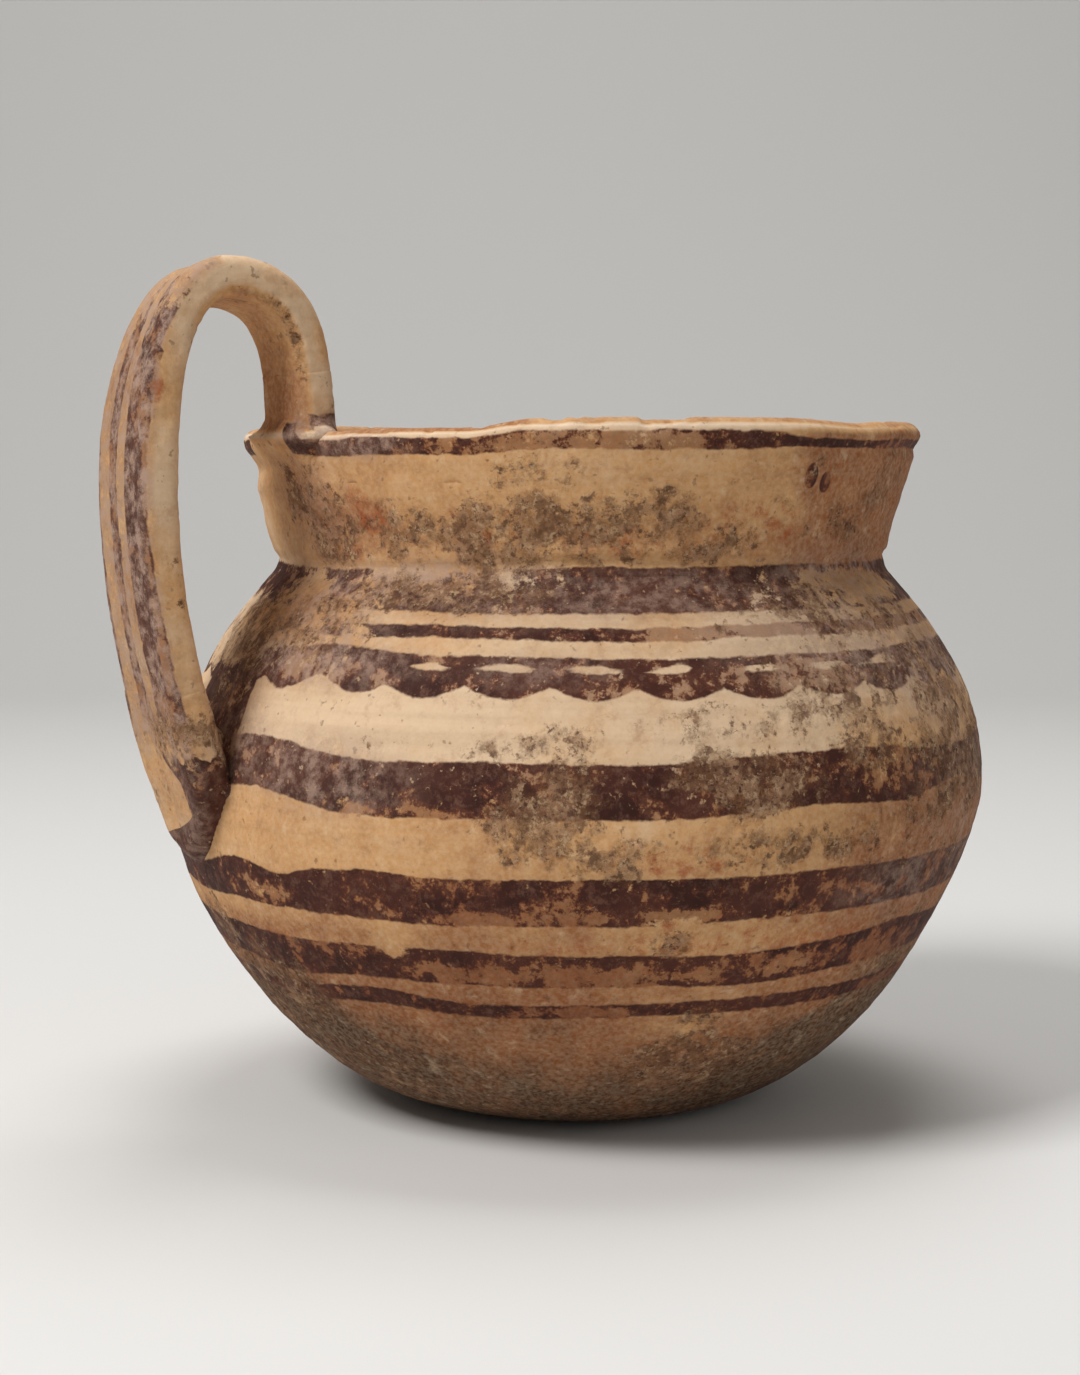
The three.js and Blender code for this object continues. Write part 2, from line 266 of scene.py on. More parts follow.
CURVE_POINTS, LIP_POINTS = 400, 200
share = np.linspace(0, 1, CURVE_POINTS)
outside = np.concatenate([bezier(s, share)[:-1] for s in stretches] + [[stretches[-1][-1]]])
inside = outside - normals_of(outside) * thickness_at(outside[:, 1])[:, None]
lip_middle = (outside[-1] + inside[-1]) / 2
lip_turn = np.linspace(0, math.pi, LIP_POINTS)[1:-1, None]
lip_arm = outside[-1] - lip_middle
lip_side = np.array([-lip_arm[1], lip_arm[0]])
lip = lip_middle + lip_arm * np.cos(lip_turn) + lip_side * np.sin(lip_turn)
skin = np.concatenate([[(0, 0)], outside, lip, inside[::-1], [(0, FLOOR_THICKNESS)]])
skin_length = np.r_[0, np.cumsum(np.linalg.norm(np.diff(skin, axis=0), axis=1))]
skin_normal = normals_of(skin)
outside_end = len(outside)
inside_start = len(skin) - len(inside) - 1
print("the skin's line is", round(skin_length[-1], 1), "mm long")


def skin_at(s):
    """Radius, height and outward normal of the skin at arc lengths `s`.

    Each is read off between the line's two nearest points, and the normal is
    brought back to unit length.
    """
    point = np.stack([np.interp(s, skin_length, skin[:, k]) for k in (0, 1)], axis=-1)
    normal = np.stack([np.interp(s, skin_length, skin_normal[:, k]) for k in (0, 1)], axis=-1)
    return point, normal / np.linalg.norm(normal, axis=-1, keepdims=True)


def outside_length_at(z):
    """Arc length at which the outside passes a height."""
    return np.interp(z, outside[:, 1], skin_length[1 : outside_end + 1])


def inside_length_at(z):
    """Arc length at which the inside passes a height."""
    inner = skin[inside_start:-1]
    return np.interp(z, inner[::-1, 1], skin_length[inside_start:-1][::-1])


# %% [markdown]
# ## The rim
#
# The last coil was laid by eye, so the rim isn't level. It stands lower on the
# handle's side and steps up where the two ends of the coil overlap. It could be
# cut level and bent with a lattice. A formula in degrees is easier to match to
# the photo, and the handle and the paint can use it too.

# %% The rim's height
RIM_STEP_AZIMUTH = 225.0


def rim_drop(azimuth):
    """How far the rim stands below the CAD rim at an azimuth, in mm.

    It is 0.45 mm, plus 1.5 on the low side by the handle, plus 0.5 in a dip
    beside the strap and in a sag opposite, each faded in and out.
    """
    past_step = turn_from(azimuth, RIM_STEP_AZIMUTH)
    low_side = smooth_step(-110, -60, past_step) * smooth_step(6, -5, past_step)
    dip = bump(turn_from(azimuth, 194), 0, 9)
    sag = bump(turn_from(azimuth, 289), 0, 14)
    return 0.45 + 1.5 * low_side + 0.5 * dip + 0.5 * sag


low_places = np.array([194, 225, 289])
print("the rim drops by", np.round(rim_drop(low_places), 2), "mm at", low_places, "degrees")


def share_to_rim(z, most=1.0):
    """0 up to 6 mm over the crease, and in proportion to the height to 1 at the rim."""
    start = CREASE_HEIGHT + 6
    return np.clip((z - start) / (RIM_HEIGHT - start), 0, most)


# %% [markdown]
# ## What burial left behind
#
# Damp soil left a grey-brown crust in patches, a thin lilac-grey film and a
# few rust-red stains. They could be painted by hand on a texture, but then they
# would need an image. Here each is a short list of blobs on the pot: azimuth
# and height of the middle, half width in degrees, half height in mm and
# strength. Noise breaks up their outlines later.

# %% Blobs of crust, film and stain
CRUST = [
    (194, 117, 12, 8, 0.7), (208, 120, 14, 8, 0.8), (222, 119, 9, 9, 0.8), (231, 121, 9, 9, 0.8),
    (247, 122, 14, 9, 0.85), (238, 116, 9, 4, 0.6), (229, 80, 7, 5, 0.65), (234, 68, 8, 10, 1.0),
    (242, 62, 8, 6, 0.55), (237, 75, 7, 6, 0.95), (255, 77, 7, 5, 0.9), (262, 74, 9, 7, 1.0),
    (270, 77, 7, 5, 0.6), (258, 86, 14, 5, 0.45), (280, 91, 20, 10, 0.5), (302, 76, 22, 30, 0.65),
    (275, 85, 14, 7, 0.6), (268, 62, 16, 5, 0.6), (191, 102, 14, 10, 0.5), (205, 109, 14, 4, 0.6),
    (284, 104, 26, 7, 0.6), (258, 118, 12, 6, 0.75), (172, 99, 20, 10, 0.5), (214, 108, 24, 4, 0.6),
    (200, 13, 16, 10, 0.9), (190, 30, 10, 8, 0.8), (235, 82, 8, 4, 0.55), (186, 126, 12, 12, 0.5),
    (279, 79, 9, 5, 0.8), (296, 78, 12, 6, 0.8), (289, 122, 12, 5, 0.5), (231, 131, 12, 5, 0.35),
    (285, 60, 14, 8, 0.3), (260, 19, 16, 9, 0.85), (258, 29, 5, 3, 0.8), (252, 44, 4, 4, 0.6),
    (176, 36, 12, 12, 0.85), (176, 20, 18, 14, 0.8), (205, 16, 9, 5, 0.65), (186, 6, 24, 5, 0.6),
    (225, 6, 40, 4, 0.45), (180, 98, 9, 8, 0.6), (30, 60, 40, 30, 0.7), (90, 96, 34, 20, 0.6),
    (125, 40, 30, 22, 0.7), (345, 40, 26, 16, 0.7), (60, 124, 50, 12, 0.7), (280, 126, 14, 9, 0.45),
]
FILM = [
    (203, 75, 15, 9, 0.75), (193, 96, 24, 7, 0.9), (222, 108, 34, 6, 0.6), (292, 100, 36, 14, 0.8),
    (308, 72, 22, 26, 0.7), (184, 120, 14, 20, 0.6), (186, 80, 8, 10, 0.8), (290, 52, 16, 8, 0.5),
    (20, 90, 60, 30, 0.6), (201, 138, 11, 4, 0.9), (212, 110, 26, 6, 1.0), (250, 108, 30, 6, 0.6),
    (193, 103, 16, 12, 0.9), (290, 110, 22, 8, 0.8), (232, 95, 12, 4, 0.5), (302, 92, 18, 16, 1.0),
    (178, 90, 10, 10, 0.5), (189, 141, 8, 3, 1.0),
]
RED = [
    (198, 126.5, 3, 4, 0.8), (201, 122, 4, 4, 0.75), (243, 118, 10, 4, 0.5), (193, 115.5, 9, 3, 0.6),
    (233, 72, 9, 5, 0.3), (252, 61, 16, 4, 0.5), (222, 121, 14, 6, 0.35), (268, 121, 14, 6, 0.45),
    (262, 44, 40, 8, 0.4),
]
print(len(CRUST), "patches of crust,", len(FILM), "of film and", len(RED), "red stains")


def blobs(azimuth, z, patches):
    """The strongest of a list of soft-edged ellipses at each grid point.

    A point's way from the middle is sqrt(turn^2 + rise^2), both in half widths.
    A blob is full up to 0.3 of that and gone at 1.25.
    """
    most = np.zeros(z.shape)
    for middle, height, half_turn, half_height, strength in patches:
        far = np.hypot(turn_from(azimuth, middle) / half_turn, (z - height) / half_height)
        most = np.maximum(most, strength * smooth_step(1.25, 0.3, far))
    return most


def crust_at(points, azimuth, z):
    """How much burial crust lies at each point, between 0 and 1.

    It is the blobs' amount plus noise of two sizes. The noise counts for more
    where crust is wanted.
    """
    cloud = 0.5 * rough_noise(points, 10, seed=301) + 0.7 * rough_noise(points, 3.4, seed=311)
    wanted = blobs(azimuth, z, CRUST)
    return np.clip(1.1 * wanted + (0.25 + 0.75 * wanted) * cloud - 0.05, 0, 1)


# %% [markdown]
# ## Handwork
#
# The wall isn't a perfect turned surface. It swells and sinks a little where
# fingers pressed the coils together, and faint ridges run round it where it
# was wiped. Opposite the handle the lip was rolled outward, which left a groove
# under it. A bump map would only shade these marks. Here they move the mesh, so
# they also show in the pot's outline.

# %% The uneven surface
def handwork(points, azimuth, z, outer):
    """Height of the uneven surface over the even one, in mm.

    It adds up swells from the coils, wiping ridges that run round the pot, fine
    grain, pits where grit fell out and lumps of crust. The outside alone has the
    crease, the rolled lip, a scratch, a fuller right side and the pinched root.
    Chips are taken off the lip.
    """
    from_front = turn_from(azimuth, FRONT_AZIMUTH)
    swell = 0.28 * rough_noise(points, (34, 34, 22), seed=11, octaves=2)
    fuller = 0.55 * bump(from_front, 78, 60) * bump(z, 18, 26)
    by_root = bump(turn_from(azimuth, 160), 0, 22)
    pinched = (1.1 * bump(z, 119, 8) - 2.1 * bump(z, 132.5, 5)) * by_root
    ridges = 0.07 * rough_noise(points, (42, 42, 2.2), seed=21, octaves=2)
    grain = 0.05 * rough_noise(points, 1.7, seed=31, octaves=2)
    pits = -0.34 * smooth_step(0.62, 0.9, lattice_noise(points, 2.6, seed=41))
    crust = crust_at(points, azimuth, z) * outer
    lumps = 0.24 * crust * (0.6 + 0.6 * rough_noise(points, 2.1, seed=51, octaves=2))
    crease_z = CREASE_HEIGHT + 1.3 + 1.1 * right_of_front(from_front, -30, 5)
    crease_z += 0.4 * lattice_noise(points, 16, seed=61)
    crease = -0.45 * bump(z, crease_z, 1.5)
    crease += 0.35 * bump(z, crease_z + 1.9, 2.2) * (0.6 + 0.7 * lattice_noise(points, 7, seed=62))
    roll = 0.25 + 0.75 * right_of_front(from_front, 18, 42)
    lip_roll = 0.5 * bump(z, RIM_HEIGHT - 2.0, 2.6) - 0.4 * bump(z, RIM_HEIGHT - 5.2, 1.5)
    chips = bump(z, RIM_HEIGHT, 4) * smooth_step(0.35, 0.75, lattice_noise(points, 5, seed=71))
    scratch_z = 87.2 + 0.07 * (azimuth - 192) + 0.3 * lattice_noise(points, 9, seed=81)
    scratch = -0.14 * bump(z, scratch_z, 0.6) * bump(turn_from(azimuth, 203), 0, 13)
    on_outside = (crease + roll * lip_roll + scratch + fuller + pinched) * outer
    return swell + ridges + grain + pits + lumps + on_outside - 0.5 * chips


# %% [markdown]
# Every point of the wall is made the same way: turned round the axis, moved
# out by the handwork, leaned a little, as the whole pot leans, and pulled down
# with the rim.

# %% Points on the finished wall
def wall_points(s, azimuth):
    """Grid of points on the finished pot, in mm, with what is known there.

    `s` are arc lengths along the skin (rows) and `azimuth` degrees (columns).
    The even point is (r cos a, r sin a, z). It moves along its normal by the
    handwork, then by the lean along x and down by its share of the rim's drop.
    """
    point, normal = skin_at(s)
    s, azimuth = np.meshgrid(s, azimuth, indexing="ij")
    angle = np.radians(azimuth)
    r, z = point[:, :1] + 0 * angle, point[:, 1:] + 0 * angle
    nr, nz = normal[:, :1], normal[:, 1:]
    even = np.stack([r * np.cos(angle), r * np.sin(angle), z], axis=-1)
    out = np.stack([nr * np.cos(angle), nr * np.sin(angle), nz + 0 * angle], axis=-1)
    outer = 1 - smooth_step(skin_length[outside_end], skin_length[outside_end] + 5, s)
    free = smooth_step(2.5, 7, r) * smooth_step(0.3, 1.6, z + 3 * (1 - outer))
    rise = handwork(even, azimuth, z, outer) * free
    made = even + out * rise[..., None]
    made[..., 0] += LEAN * smooth_step(LEAN_FROM, LEAN_TO, z)
    made[..., 2] -= rim_drop(azimuth) * share_to_rim(z)
    return made, {"azimuth": azimuth, "z": z, "even": even, "outer": outer}


# %% [markdown]
# ## The painted bands
#
# The painter held a brush to the turning pot: four bands round the belly, a
# scalloped one under the neck, two more up to the crease, and one along the
# lip. They could be drawn on an image and wrapped round the pot. Here a band is
# a pair of heights, with a few bends where the hand rose or sank: azimuth, half
# width in degrees, and the change to the lower and to the upper edge in mm.

# %% Heights of the bands
BELLY_BANDS = [
    (29.2, 32.1, [(208, 16, 1.0, 1.6), (184, 9, 0.0, -0.8)]),
    (
        35.9,
        42.6,
        [(193, 14, -1.5, -0.5), (222, 22, 0.4, 0.9), (262, 17, -0.8, -0.9), (293, 18, 0.5, 1.4)],
    ),
    (48.5, 57.4, [(175, 12, -0.8, -2.8), (196, 8, 0.0, -1.8), (211, 9, 0.0, 0.6)]),
    (
        68.5,
        78.6,
        [(178, 9, 2.0, 0.0), (190, 17, 2.9, 2.5), (270, 26, 1.3, 1.4), (299, 17, 3.2, -0.9)],
    ),
]
SCALLOP_BAND = (91.7, 97.2)
SCALLOP_TURN, SCALLOP_CUSP, SCALLOP_DEPTH = 11.8, 222.0, 2.2
LOBES_EACH_WAY = 15.5
THIN_BAND = (100.2, 102.6)
NECK_BAND = (104.9, 112.2)
RIM_BAND = (135.6, 139.2)
RIM_BAND_GAP = (176.0, 9.8)
SIDE_PATCH = (176.5, 8.5, 78.0, 91.0)
BLOTCHES = [(277.6, 130.6, 1.9, 3.3, 1), (281.2, 129.3, 1.7, 2.8, 1)]
NO_PAINT = -9.0
MM_A_DEGREE = 1.45

THIN_AT = [
    (192, 51, 9, 5, 0.5), (226, 49.5, 9, 2.5, 1.0), (238, 50, 7, 2, 0.9), (251, 49.8, 9, 2.6, 1.0),
    (196, 94, 16, 5, 0.7), (276, 52, 14, 5, 0.6), (222, 38, 16, 3, 0.8), (240, 38.5, 12, 4, 0.85),
    (262, 38.5, 20, 4, 0.8), (292, 39, 14, 5, 0.7), (239, 30.5, 12, 2, 0.9), (298, 30.5, 12, 2, 0.7),
    (222, 101, 12, 2, 0.35), (262, 101, 24, 3, 1.0), (300, 101, 30, 3, 1.0), (255, 93, 12, 4, 0.6),
    (272, 93, 12, 5, 0.85), (215, 69.5, 12, 2.5, 0.8), (228, 72, 7, 3, 0.4), (290, 75, 18, 6, 0.45),
    (244, 92, 7, 4, 0.5), (243, 137, 24, 4, 0.9), (216, 137, 9, 3, 0.5), (268, 137, 12, 4, 0.5),
]
LOST_AT = [
    (192, 52, 4, 3, 0.7), (213, 42.5, 4, 2.5, 1.0), (252, 48.7, 7, 1.8, 0.9), (268, 50, 5, 3, 0.5),
    (282, 51, 9, 4, 0.6), (214, 111, 26, 4.5, 1.0), (200, 108, 12, 5, 1.0), (184, 108, 12, 6, 1.0),
    (226, 105.5, 4, 2, 0.6), (268, 109, 10, 6, 0.5), (292, 109, 22, 6, 1.2), (268, 101, 24, 2, 0.45),
    (228, 137, 9, 4, 0.4), (244, 137, 14, 4, 0.45), (208, 70, 5, 2, 0.5), (285, 76, 12, 5, 0.55),
    (276, 93, 14, 5, 0.5), (231, 74, 5, 5, 0.5), (262, 75, 8, 5, 0.6), (300, 92, 20, 8, 0.7),
    (166, 99, 28, 9, 1.5), (178, 87, 10, 8, 0.5), (196, 96, 12, 5, 0.6), (196, 101, 14, 3, 0.9),
    (186, 104, 14, 8, 1.2),
]
print(len(BELLY_BANDS), "belly bands,", len(THIN_AT), "thin places,", len(LOST_AT), "worn off")


# %% [markdown]
# What the shader gets is how far each point lies inside the nearest painted
# edge, in mm, so that the edge stays sharp and can be roughened. A wandering
# height stands in for the painter's unsteady hand. The scallops hang from
# their band like the halves of a sine wave, with a thin unpainted lens over each.

# %% Edges of the paint
def inside_band(z, low, high):
    """Distance in mm to the nearer edge of a band, positive inside it."""
    return np.minimum(z - low, high - z)


def bent(azimuth, height, bends, which):
    """A band's edge: its height plus the bends' change to that edge."""
    for bend in bends:
        height = height + bend[which] * bump(turn_from(azimuth, bend[0]), 0, bend[1])
    return height


def scallop_edges(azimuth, line, even):
    """Distance inside the scalloped band, less the lenses left open in it.

    The lower edge follows |sin(pi n)|, where n counts lobes from a cusp. Behind
    the pot n is stretched a little, so that the lobes close on a whole one.
    """
    from_cusp = turn_from(azimuth, SCALLOP_CUSP)
    left_over = LOBES_EACH_WAY - 180 / SCALLOP_TURN
    closing = left_over * np.sign(from_cusp) * smooth_step(80, 180, np.abs(from_cusp))
    lobe = np.abs(np.sin(np.pi * (from_cusp / SCALLOP_TURN + closing)))
    lift = 1.9 * bump(turn_from(azimuth, 199), 0, 11)
    top = SCALLOP_BAND[1] + 1.5 * bump(turn_from(azimuth, 200), 0, 16)
    scallops = inside_band(line, SCALLOP_BAND[0] - SCALLOP_DEPTH * lobe + lift, top)
    lens = 0.85 * lobe**2 - 0.1 - np.abs(line - 94.7 - 0.5 * lobe)
    from_middle = np.abs(turn_from(azimuth, FRONT_AZIMUTH) - 15)
    lens = lens - 1.5 * smooth_step(36, 46, from_middle)
    lens = lens - 0.8 * smooth_step(-0.1, 0.5, lattice_noise(even, 9, seed=333))
    return np.minimum(scallops, -lens)


def wall_edges(azimuth, z, even):
    """Distance in mm inside each painted band of the wall, blotches last.

    It is the way to the nearer of a band's two edges, measured on a height that
    wanders with the noise.
    """
    from_front = turn_from(azimuth, FRONT_AZIMUTH)
    line = z + 0.35 * lattice_noise(even, (26, 26, 9), seed=101)
    wobble = 0.2 * lattice_noise(even, (6, 6, 4), seed=102)
    line += wobble + 0.12 * rough_noise(even, 1.6, seed=103, octaves=2)
    bands = [
        inside_band(line, bent(azimuth, low, bends, 2), bent(azimuth, high, bends, 3))
        for low, high, bends in BELLY_BANDS
    ]
    bands.append(scallop_edges(azimuth, line, even))
    bands.append(inside_band(line, *THIN_BAND))
    neck_top = NECK_BAND[1] + 1.1 * right_of_front(from_front, -30, 5)
    bands.append(inside_band(line, NECK_BAND[0], neck_top))
    rim_low = RIM_BAND[0] + 0.5 * right_of_front(from_front, 24, 34)
    rim_high = RIM_BAND[1] - 1.2 * right_of_front(from_front, 28, 40)
    rim_high += 4.5 * bump(turn_from(azimuth, 186.8), 0, 2.6)
    from_root = 1.2 * (np.abs(turn_from(azimuth, RIM_BAND_GAP[0])) - RIM_BAND_GAP[1])
    bands.append(np.minimum(inside_band(line, rim_low, rim_high), from_root))
    middle, half, bottom, high = SIDE_PATCH
    patch = (half - np.abs(turn_from(azimuth, middle))) * MM_A_DEGREE
    bands.append(np.minimum(patch + 0.3 * (line - z), inside_band(line, bottom, high)))
    bands.append(3.0 * (blobs(azimuth, z, BLOTCHES) - 0.5))
    return bands


# %% [markdown]
# The slip was thickest at the shoulder and the clay under it fired browner low
# down, on the right and at the collar. The same number also carries painted
# shade, darker low on the pot, under the handle and on the right side away from
# the light, and painted highlights on the lip's top and at the front of the
# shoulder. The tone could be a colour ramp over the height alone. It is one
# number a point instead, 0 for cream to 2 for dark brown, so each region can be
# set against the photo by itself.

# %% Tone of the clay
def wall_tone_and_painted_light(azimuth, z, even, outer):
    """How brown the clay is: cream at 0, brown at 1 and nearly black at 2.

    It adds up fades for the low clay and the right side, both partly painted
    shade, for the collar, less a painted highlight on the lip's top, and for the
    clay by the handle. It takes off the pale zone over the belly, which is also a
    painted highlight at the front, and adds some noise.
    """
    from_front = turn_from(azimuth, FRONT_AZIMUTH)
    # Darker low on the pot, most under the handle: partly browner clay, partly painted shade.
    low_clay_and_painted_shade = 0.30 * smooth_step(80, 66, z) + 0.45 * smooth_step(60, 20, z)
    low_clay_and_painted_shade += 0.8 * smooth_step(33, 7, z) + 1.0 * bump(z, 20, 28) * bump(from_front, -58, 46)
    low_clay_and_painted_shade += 0.35 * bump(z, 108, 5) * bump(from_front, -28, 30)
    # Browner on the right side: partly the clay's tone, partly painted shade away from the light.
    side_clay_and_painted_shade = 0.3 + 0.55 * smooth_step(108, 114, z) + 0.35 * smooth_step(74, 62, z)
    side_clay_and_painted_shade *= right_of_front(from_front, 18, 62) * (1 - 0.8 * bump(z, 92, 24))
    collar_clay_and_lip_highlight = 0.26 * smooth_step(110, 116, z)
    # The lip's top turns pale: bare cream clay, lightened further as a painted highlight where it
    # faces up.
    collar_clay_and_lip_highlight -= 0.9 * smooth_step(RIM_HEIGHT - 2.5, RIM_HEIGHT - 0.5, z)
    by_handle = bump(turn_from(azimuth, 185), 0, 24)
    collar_clay_and_lip_highlight += by_handle * (0.3 * bump(z, 124, 14) + 0.45 * bump(z, 104, 9))
    collar_clay_and_lip_highlight += 0.25 * bump(z, 119, 10) * bump(from_front, -14, 70)
    # Paler at the front of the shoulder: the cream slip zone, with a painted highlight where the
    # light falls from the upper left.
    pale_zone_and_painted_highlight = -0.18 * bump(z, 86, 12) * bump(from_front, -28, 46)
    brown_and_painted_light = 0.15 + low_clay_and_painted_shade + side_clay_and_painted_shade + collar_clay_and_lip_highlight + pale_zone_and_painted_highlight
    brown_and_painted_light = np.clip(brown_and_painted_light + 0.1 * rough_noise(even, 20, seed=321), -0.5, 2.0)
    return np.where(outer > 0.5, brown_and_painted_light, 0.7)


# %% [markdown]
# Old paint isn't one even coat. Where the brush ran dry it is thin and rusty,
# and where it let go of the slip it is lost. Noise in the shader alone could
# draw such wear, but on this pot it lies in places that the photo shows. So each
# point of the wall gets seven numbers: the way into the paint, how thin and how
# lost the paint is, the film, the crust, how brown the clay is with its painted
# shade and highlights, and how red the clay is.

# %% Everything on the wall
def wall_paint(known):
    """Paint, film, crust and tone on a grid of wall points."""
    azimuth, z, even, outer = (known[k] for k in ("azimuth", "z", "even", "outer"))
    bands = wall_edges(azimuth, z, even)
    paint = np.where(outer > 0.5, np.maximum(np.maximum.reduce(bands), NO_PAINT), NO_PAINT)
    blotch = np.maximum.reduce(bands[:-1]) < -1
    thin = np.clip(0.3 + 0.25 * lattice_noise(even, 9, seed=331), 0, 1)
    thin = np.maximum(thin, blobs(azimuth, z, THIN_AT))
    thin = np.where(blotch & (z > 125), 0.75, thin)
    lost = blobs(azimuth, z, LOST_AT)
    behind = smooth_step(60, 100, np.abs(turn_from(azimuth, FRONT_AZIMUTH)))
    lost = np.maximum(lost, 0.35 * behind)
    return {
        "paint_mm": paint,
        "thin": thin,
        "lost": lost,
        "film_and_highlight": blobs(azimuth, z, FILM) * outer,
        "crust": crust_at(even, azimuth, z) * np.maximum(outer, 0.5),
        "brown_and_painted_light": wall_tone_and_painted_light(azimuth, z, even, outer),
        "red": blobs(azimuth, z, RED) * outer,
    }


# %% [markdown]
# ## Turning grids into pieces
#
# Each ring of clay is a grid of rows and columns that closes on itself both
# ways. The base closes on the axis at its two ends. Blender's own cylinder or
# lathe tools can't carry a value to every point, so the points, faces and
# values are made as arrays and handed to one mesh.

# %% Mesh making
def new_piece(name, points, faces, values):
    """Makes a smooth mesh object from points in mm, faces and point values."""
    mesh = bpy.data.meshes.new(name)
    mesh.from_pydata(points.reshape(-1, 3) * MM, [], faces)
    for key, value in values.items():
        layer = mesh.attributes.new(key, "FLOAT", "POINT")
        layer.data.foreach_set("value", value.ravel().astype(np.float32))
    mesh.shade_smooth()
    mesh.set_sharp_from_angle(angle=math.radians(55))
    piece = bpy.data.objects.new(name, mesh)
    bpy.context.scene.collection.objects.link(piece)
    return piece


def grid_faces(rows, columns, close_rows):
    """Quads of a grid that closes along its columns and, if asked, its rows.

    The point in row r and column c has the number r * columns + c.
    """
    r = np.arange(rows if close_rows else rows - 1)[:, None]
    c = np.arange(columns)[None, :]
    up, right = (r + 1) % rows, (c + 1) % columns
    quads = [r * columns + c, r * columns + right, up * columns + right, up * columns + c]
    return np.stack(np.broadcast_arrays(*quads), axis=-1).reshape(-1, 4).tolist()


def fan_faces(tip, ring, outward):
    """Triangles from a tip point to a ring of point numbers."""
    after = np.roll(ring, -1)
    pair = (ring, after) if outward else (after, ring)
    return np.stack([np.full_like(ring, tip), *pair], axis=-1).tolist()


def capped_piece(name, points, tips, values):
    """A tube of grid rows whose two ends are closed by fans to tip points."""
    rows, count = points.shape[:2]
    total = rows * count
    faces = grid_faces(rows, count, close_rows=False)
    faces += fan_faces(total, np.arange(count), outward=False)
    faces += fan_faces(total + 1, np.arange(total - count, total), outward=True)
    points = np.concatenate([points.reshape(-1, 3), tips])
    values = {k: np.concatenate([v.ravel(), v[0, :1], v[-1, :1]]) for k, v in values.items()}
    return new_piece(name, points, faces, values)


columns = int(round(2 * math.pi * BELLY_RADIUS / GRID_MM / 8)) * 8
azimuths = np.arange(columns) * 360 / columns
print(columns, "columns go round the pot")


def rows_between(start, end, step):
    """Arc lengths from one to another in even steps, the ends included."""
    count = max(int(abs(end - start) / step), 2)
    return np.linspace(start, end, count + 1)


def ring_piece(name, s):
    """A ring of clay: rows at arc lengths `s` on the skin, the last joined to the first."""
    points, known = wall_points(s, azimuths)
    faces = grid_faces(len(s), columns, close_rows=True)
    return new_piece(name + "_skin", points, faces, wall_paint(known))


# %% [markdown]
# ## The rings of the pot
#
# A large pot is built up ring by ring, and each ring is pressed onto the last
# with a slanted lap. The seams are at the heights of the frame's pieces, and on
# the inside each lies a little lower. One turned mesh cut with a boolean would
# leave ragged cuts. Here two neighbours share the same row of points instead.

# %% The rings
LAP = 3.0
seam_heights = {
    "base": 9.0,
    "bottom_ring": 21.0,
    "lower_wall": 42.0,
    "belly_wall": BELLY_HEIGHT,
    "shoulder": 90.0,
    "neck_ring": CREASE_HEIGHT,
    "collar": RIM_HEIGHT - 11.0,
}
seams = {}
for name, z in seam_heights.items():
    s = outside_length_at(z)
    point, normal = skin_at(s)
    facing = point - normal * thickness_at(z)
    seams[name] = (s, inside_length_at(facing[1]) + LAP)
    print("the seam over", name, "is at", round(float(z), 1), "mm")

pieces = {}
names = list(seam_heights)
for below, name in zip(names, names[1:]):
    outer_from, inner_to = seams[below]
    outer_to, inner_from = seams[name]
    outer_rows = rows_between(outer_from, outer_to, GRID_MM)
    inner_rows = rows_between(inner_from, inner_to, 2 * GRID_MM)
    pieces[name] = ring_piece(name, np.concatenate([outer_rows, inner_rows]))

outer_from, inner_to = seams["collar"]
pieces["rim_lip"] = ring_piece("rim_lip", rows_between(outer_from, inner_to, GRID_MM))


# %% [markdown]
# The base is a pressed disc with the start of the wall. Its rows stop just
# short of the axis, below and above, and a fan of triangles closes each end.

# %% The base
AXIS_GAP = 0.8


def base_piece():
    """The base: rows from near the axis below, out to the lap, and back above."""
    outer_to, inner_from = seams["base"]
    start, end = AXIS_GAP, skin_length[-1] - AXIS_GAP
    below = rows_between(start, outer_to, 1.3 * GRID_MM)
    above = rows_between(inner_from, end, 1.8 * GRID_MM)
    points, known = wall_points(np.concatenate([below, above]), azimuths)
    tips = np.array([[0, 0, 0], [0, 0, points[-1, :, 2].mean()]])
    return capped_piece("base_skin", points, tips, wall_paint(known))


pieces["base"] = base_piece()

# %% [markdown]
# ## The strap handle
#
# A strap is pulled from a lump of clay, bent over and pressed on at both ends.
# Its middle line rises from the rim, turns over and comes down on the belly. A
# curve object with a bevel could follow it, but its taper would thicken the
# strap where it widens it. So the line is made here, and the section is carried
# along it.

# %% The strap's middle line
STRAP_THICKNESS = 7.8
STRAP_END_SINK = 3.2
STRAP_RISE = 26.5
STRAP_REACH = 12.0
REACH_UNDER_RIM = 11.0
ROOT_UNDER_RIM = 15.0
FOOT_UNDER_BELLY = 13.0

strap_top = RIM_HEIGHT + STRAP_RISE
strap_reach = BELLY_RADIUS + STRAP_REACH
reach_height = RIM_HEIGHT - REACH_UNDER_RIM
rim_middle = RIM_RADIUS - 0.85 * LIP_THICKNESS
top_radius = mix(rim_middle, strap_reach, 0.51)
top_inward = top_radius - rim_middle
foot_radius = BELLY_RADIUS - STRAP_THICKNESS / 2 - STRAP_END_SINK
foot_height = BELLY_HEIGHT - FOOT_UNDER_BELLY
fall, over = reach_height - foot_height, strap_reach - top_radius

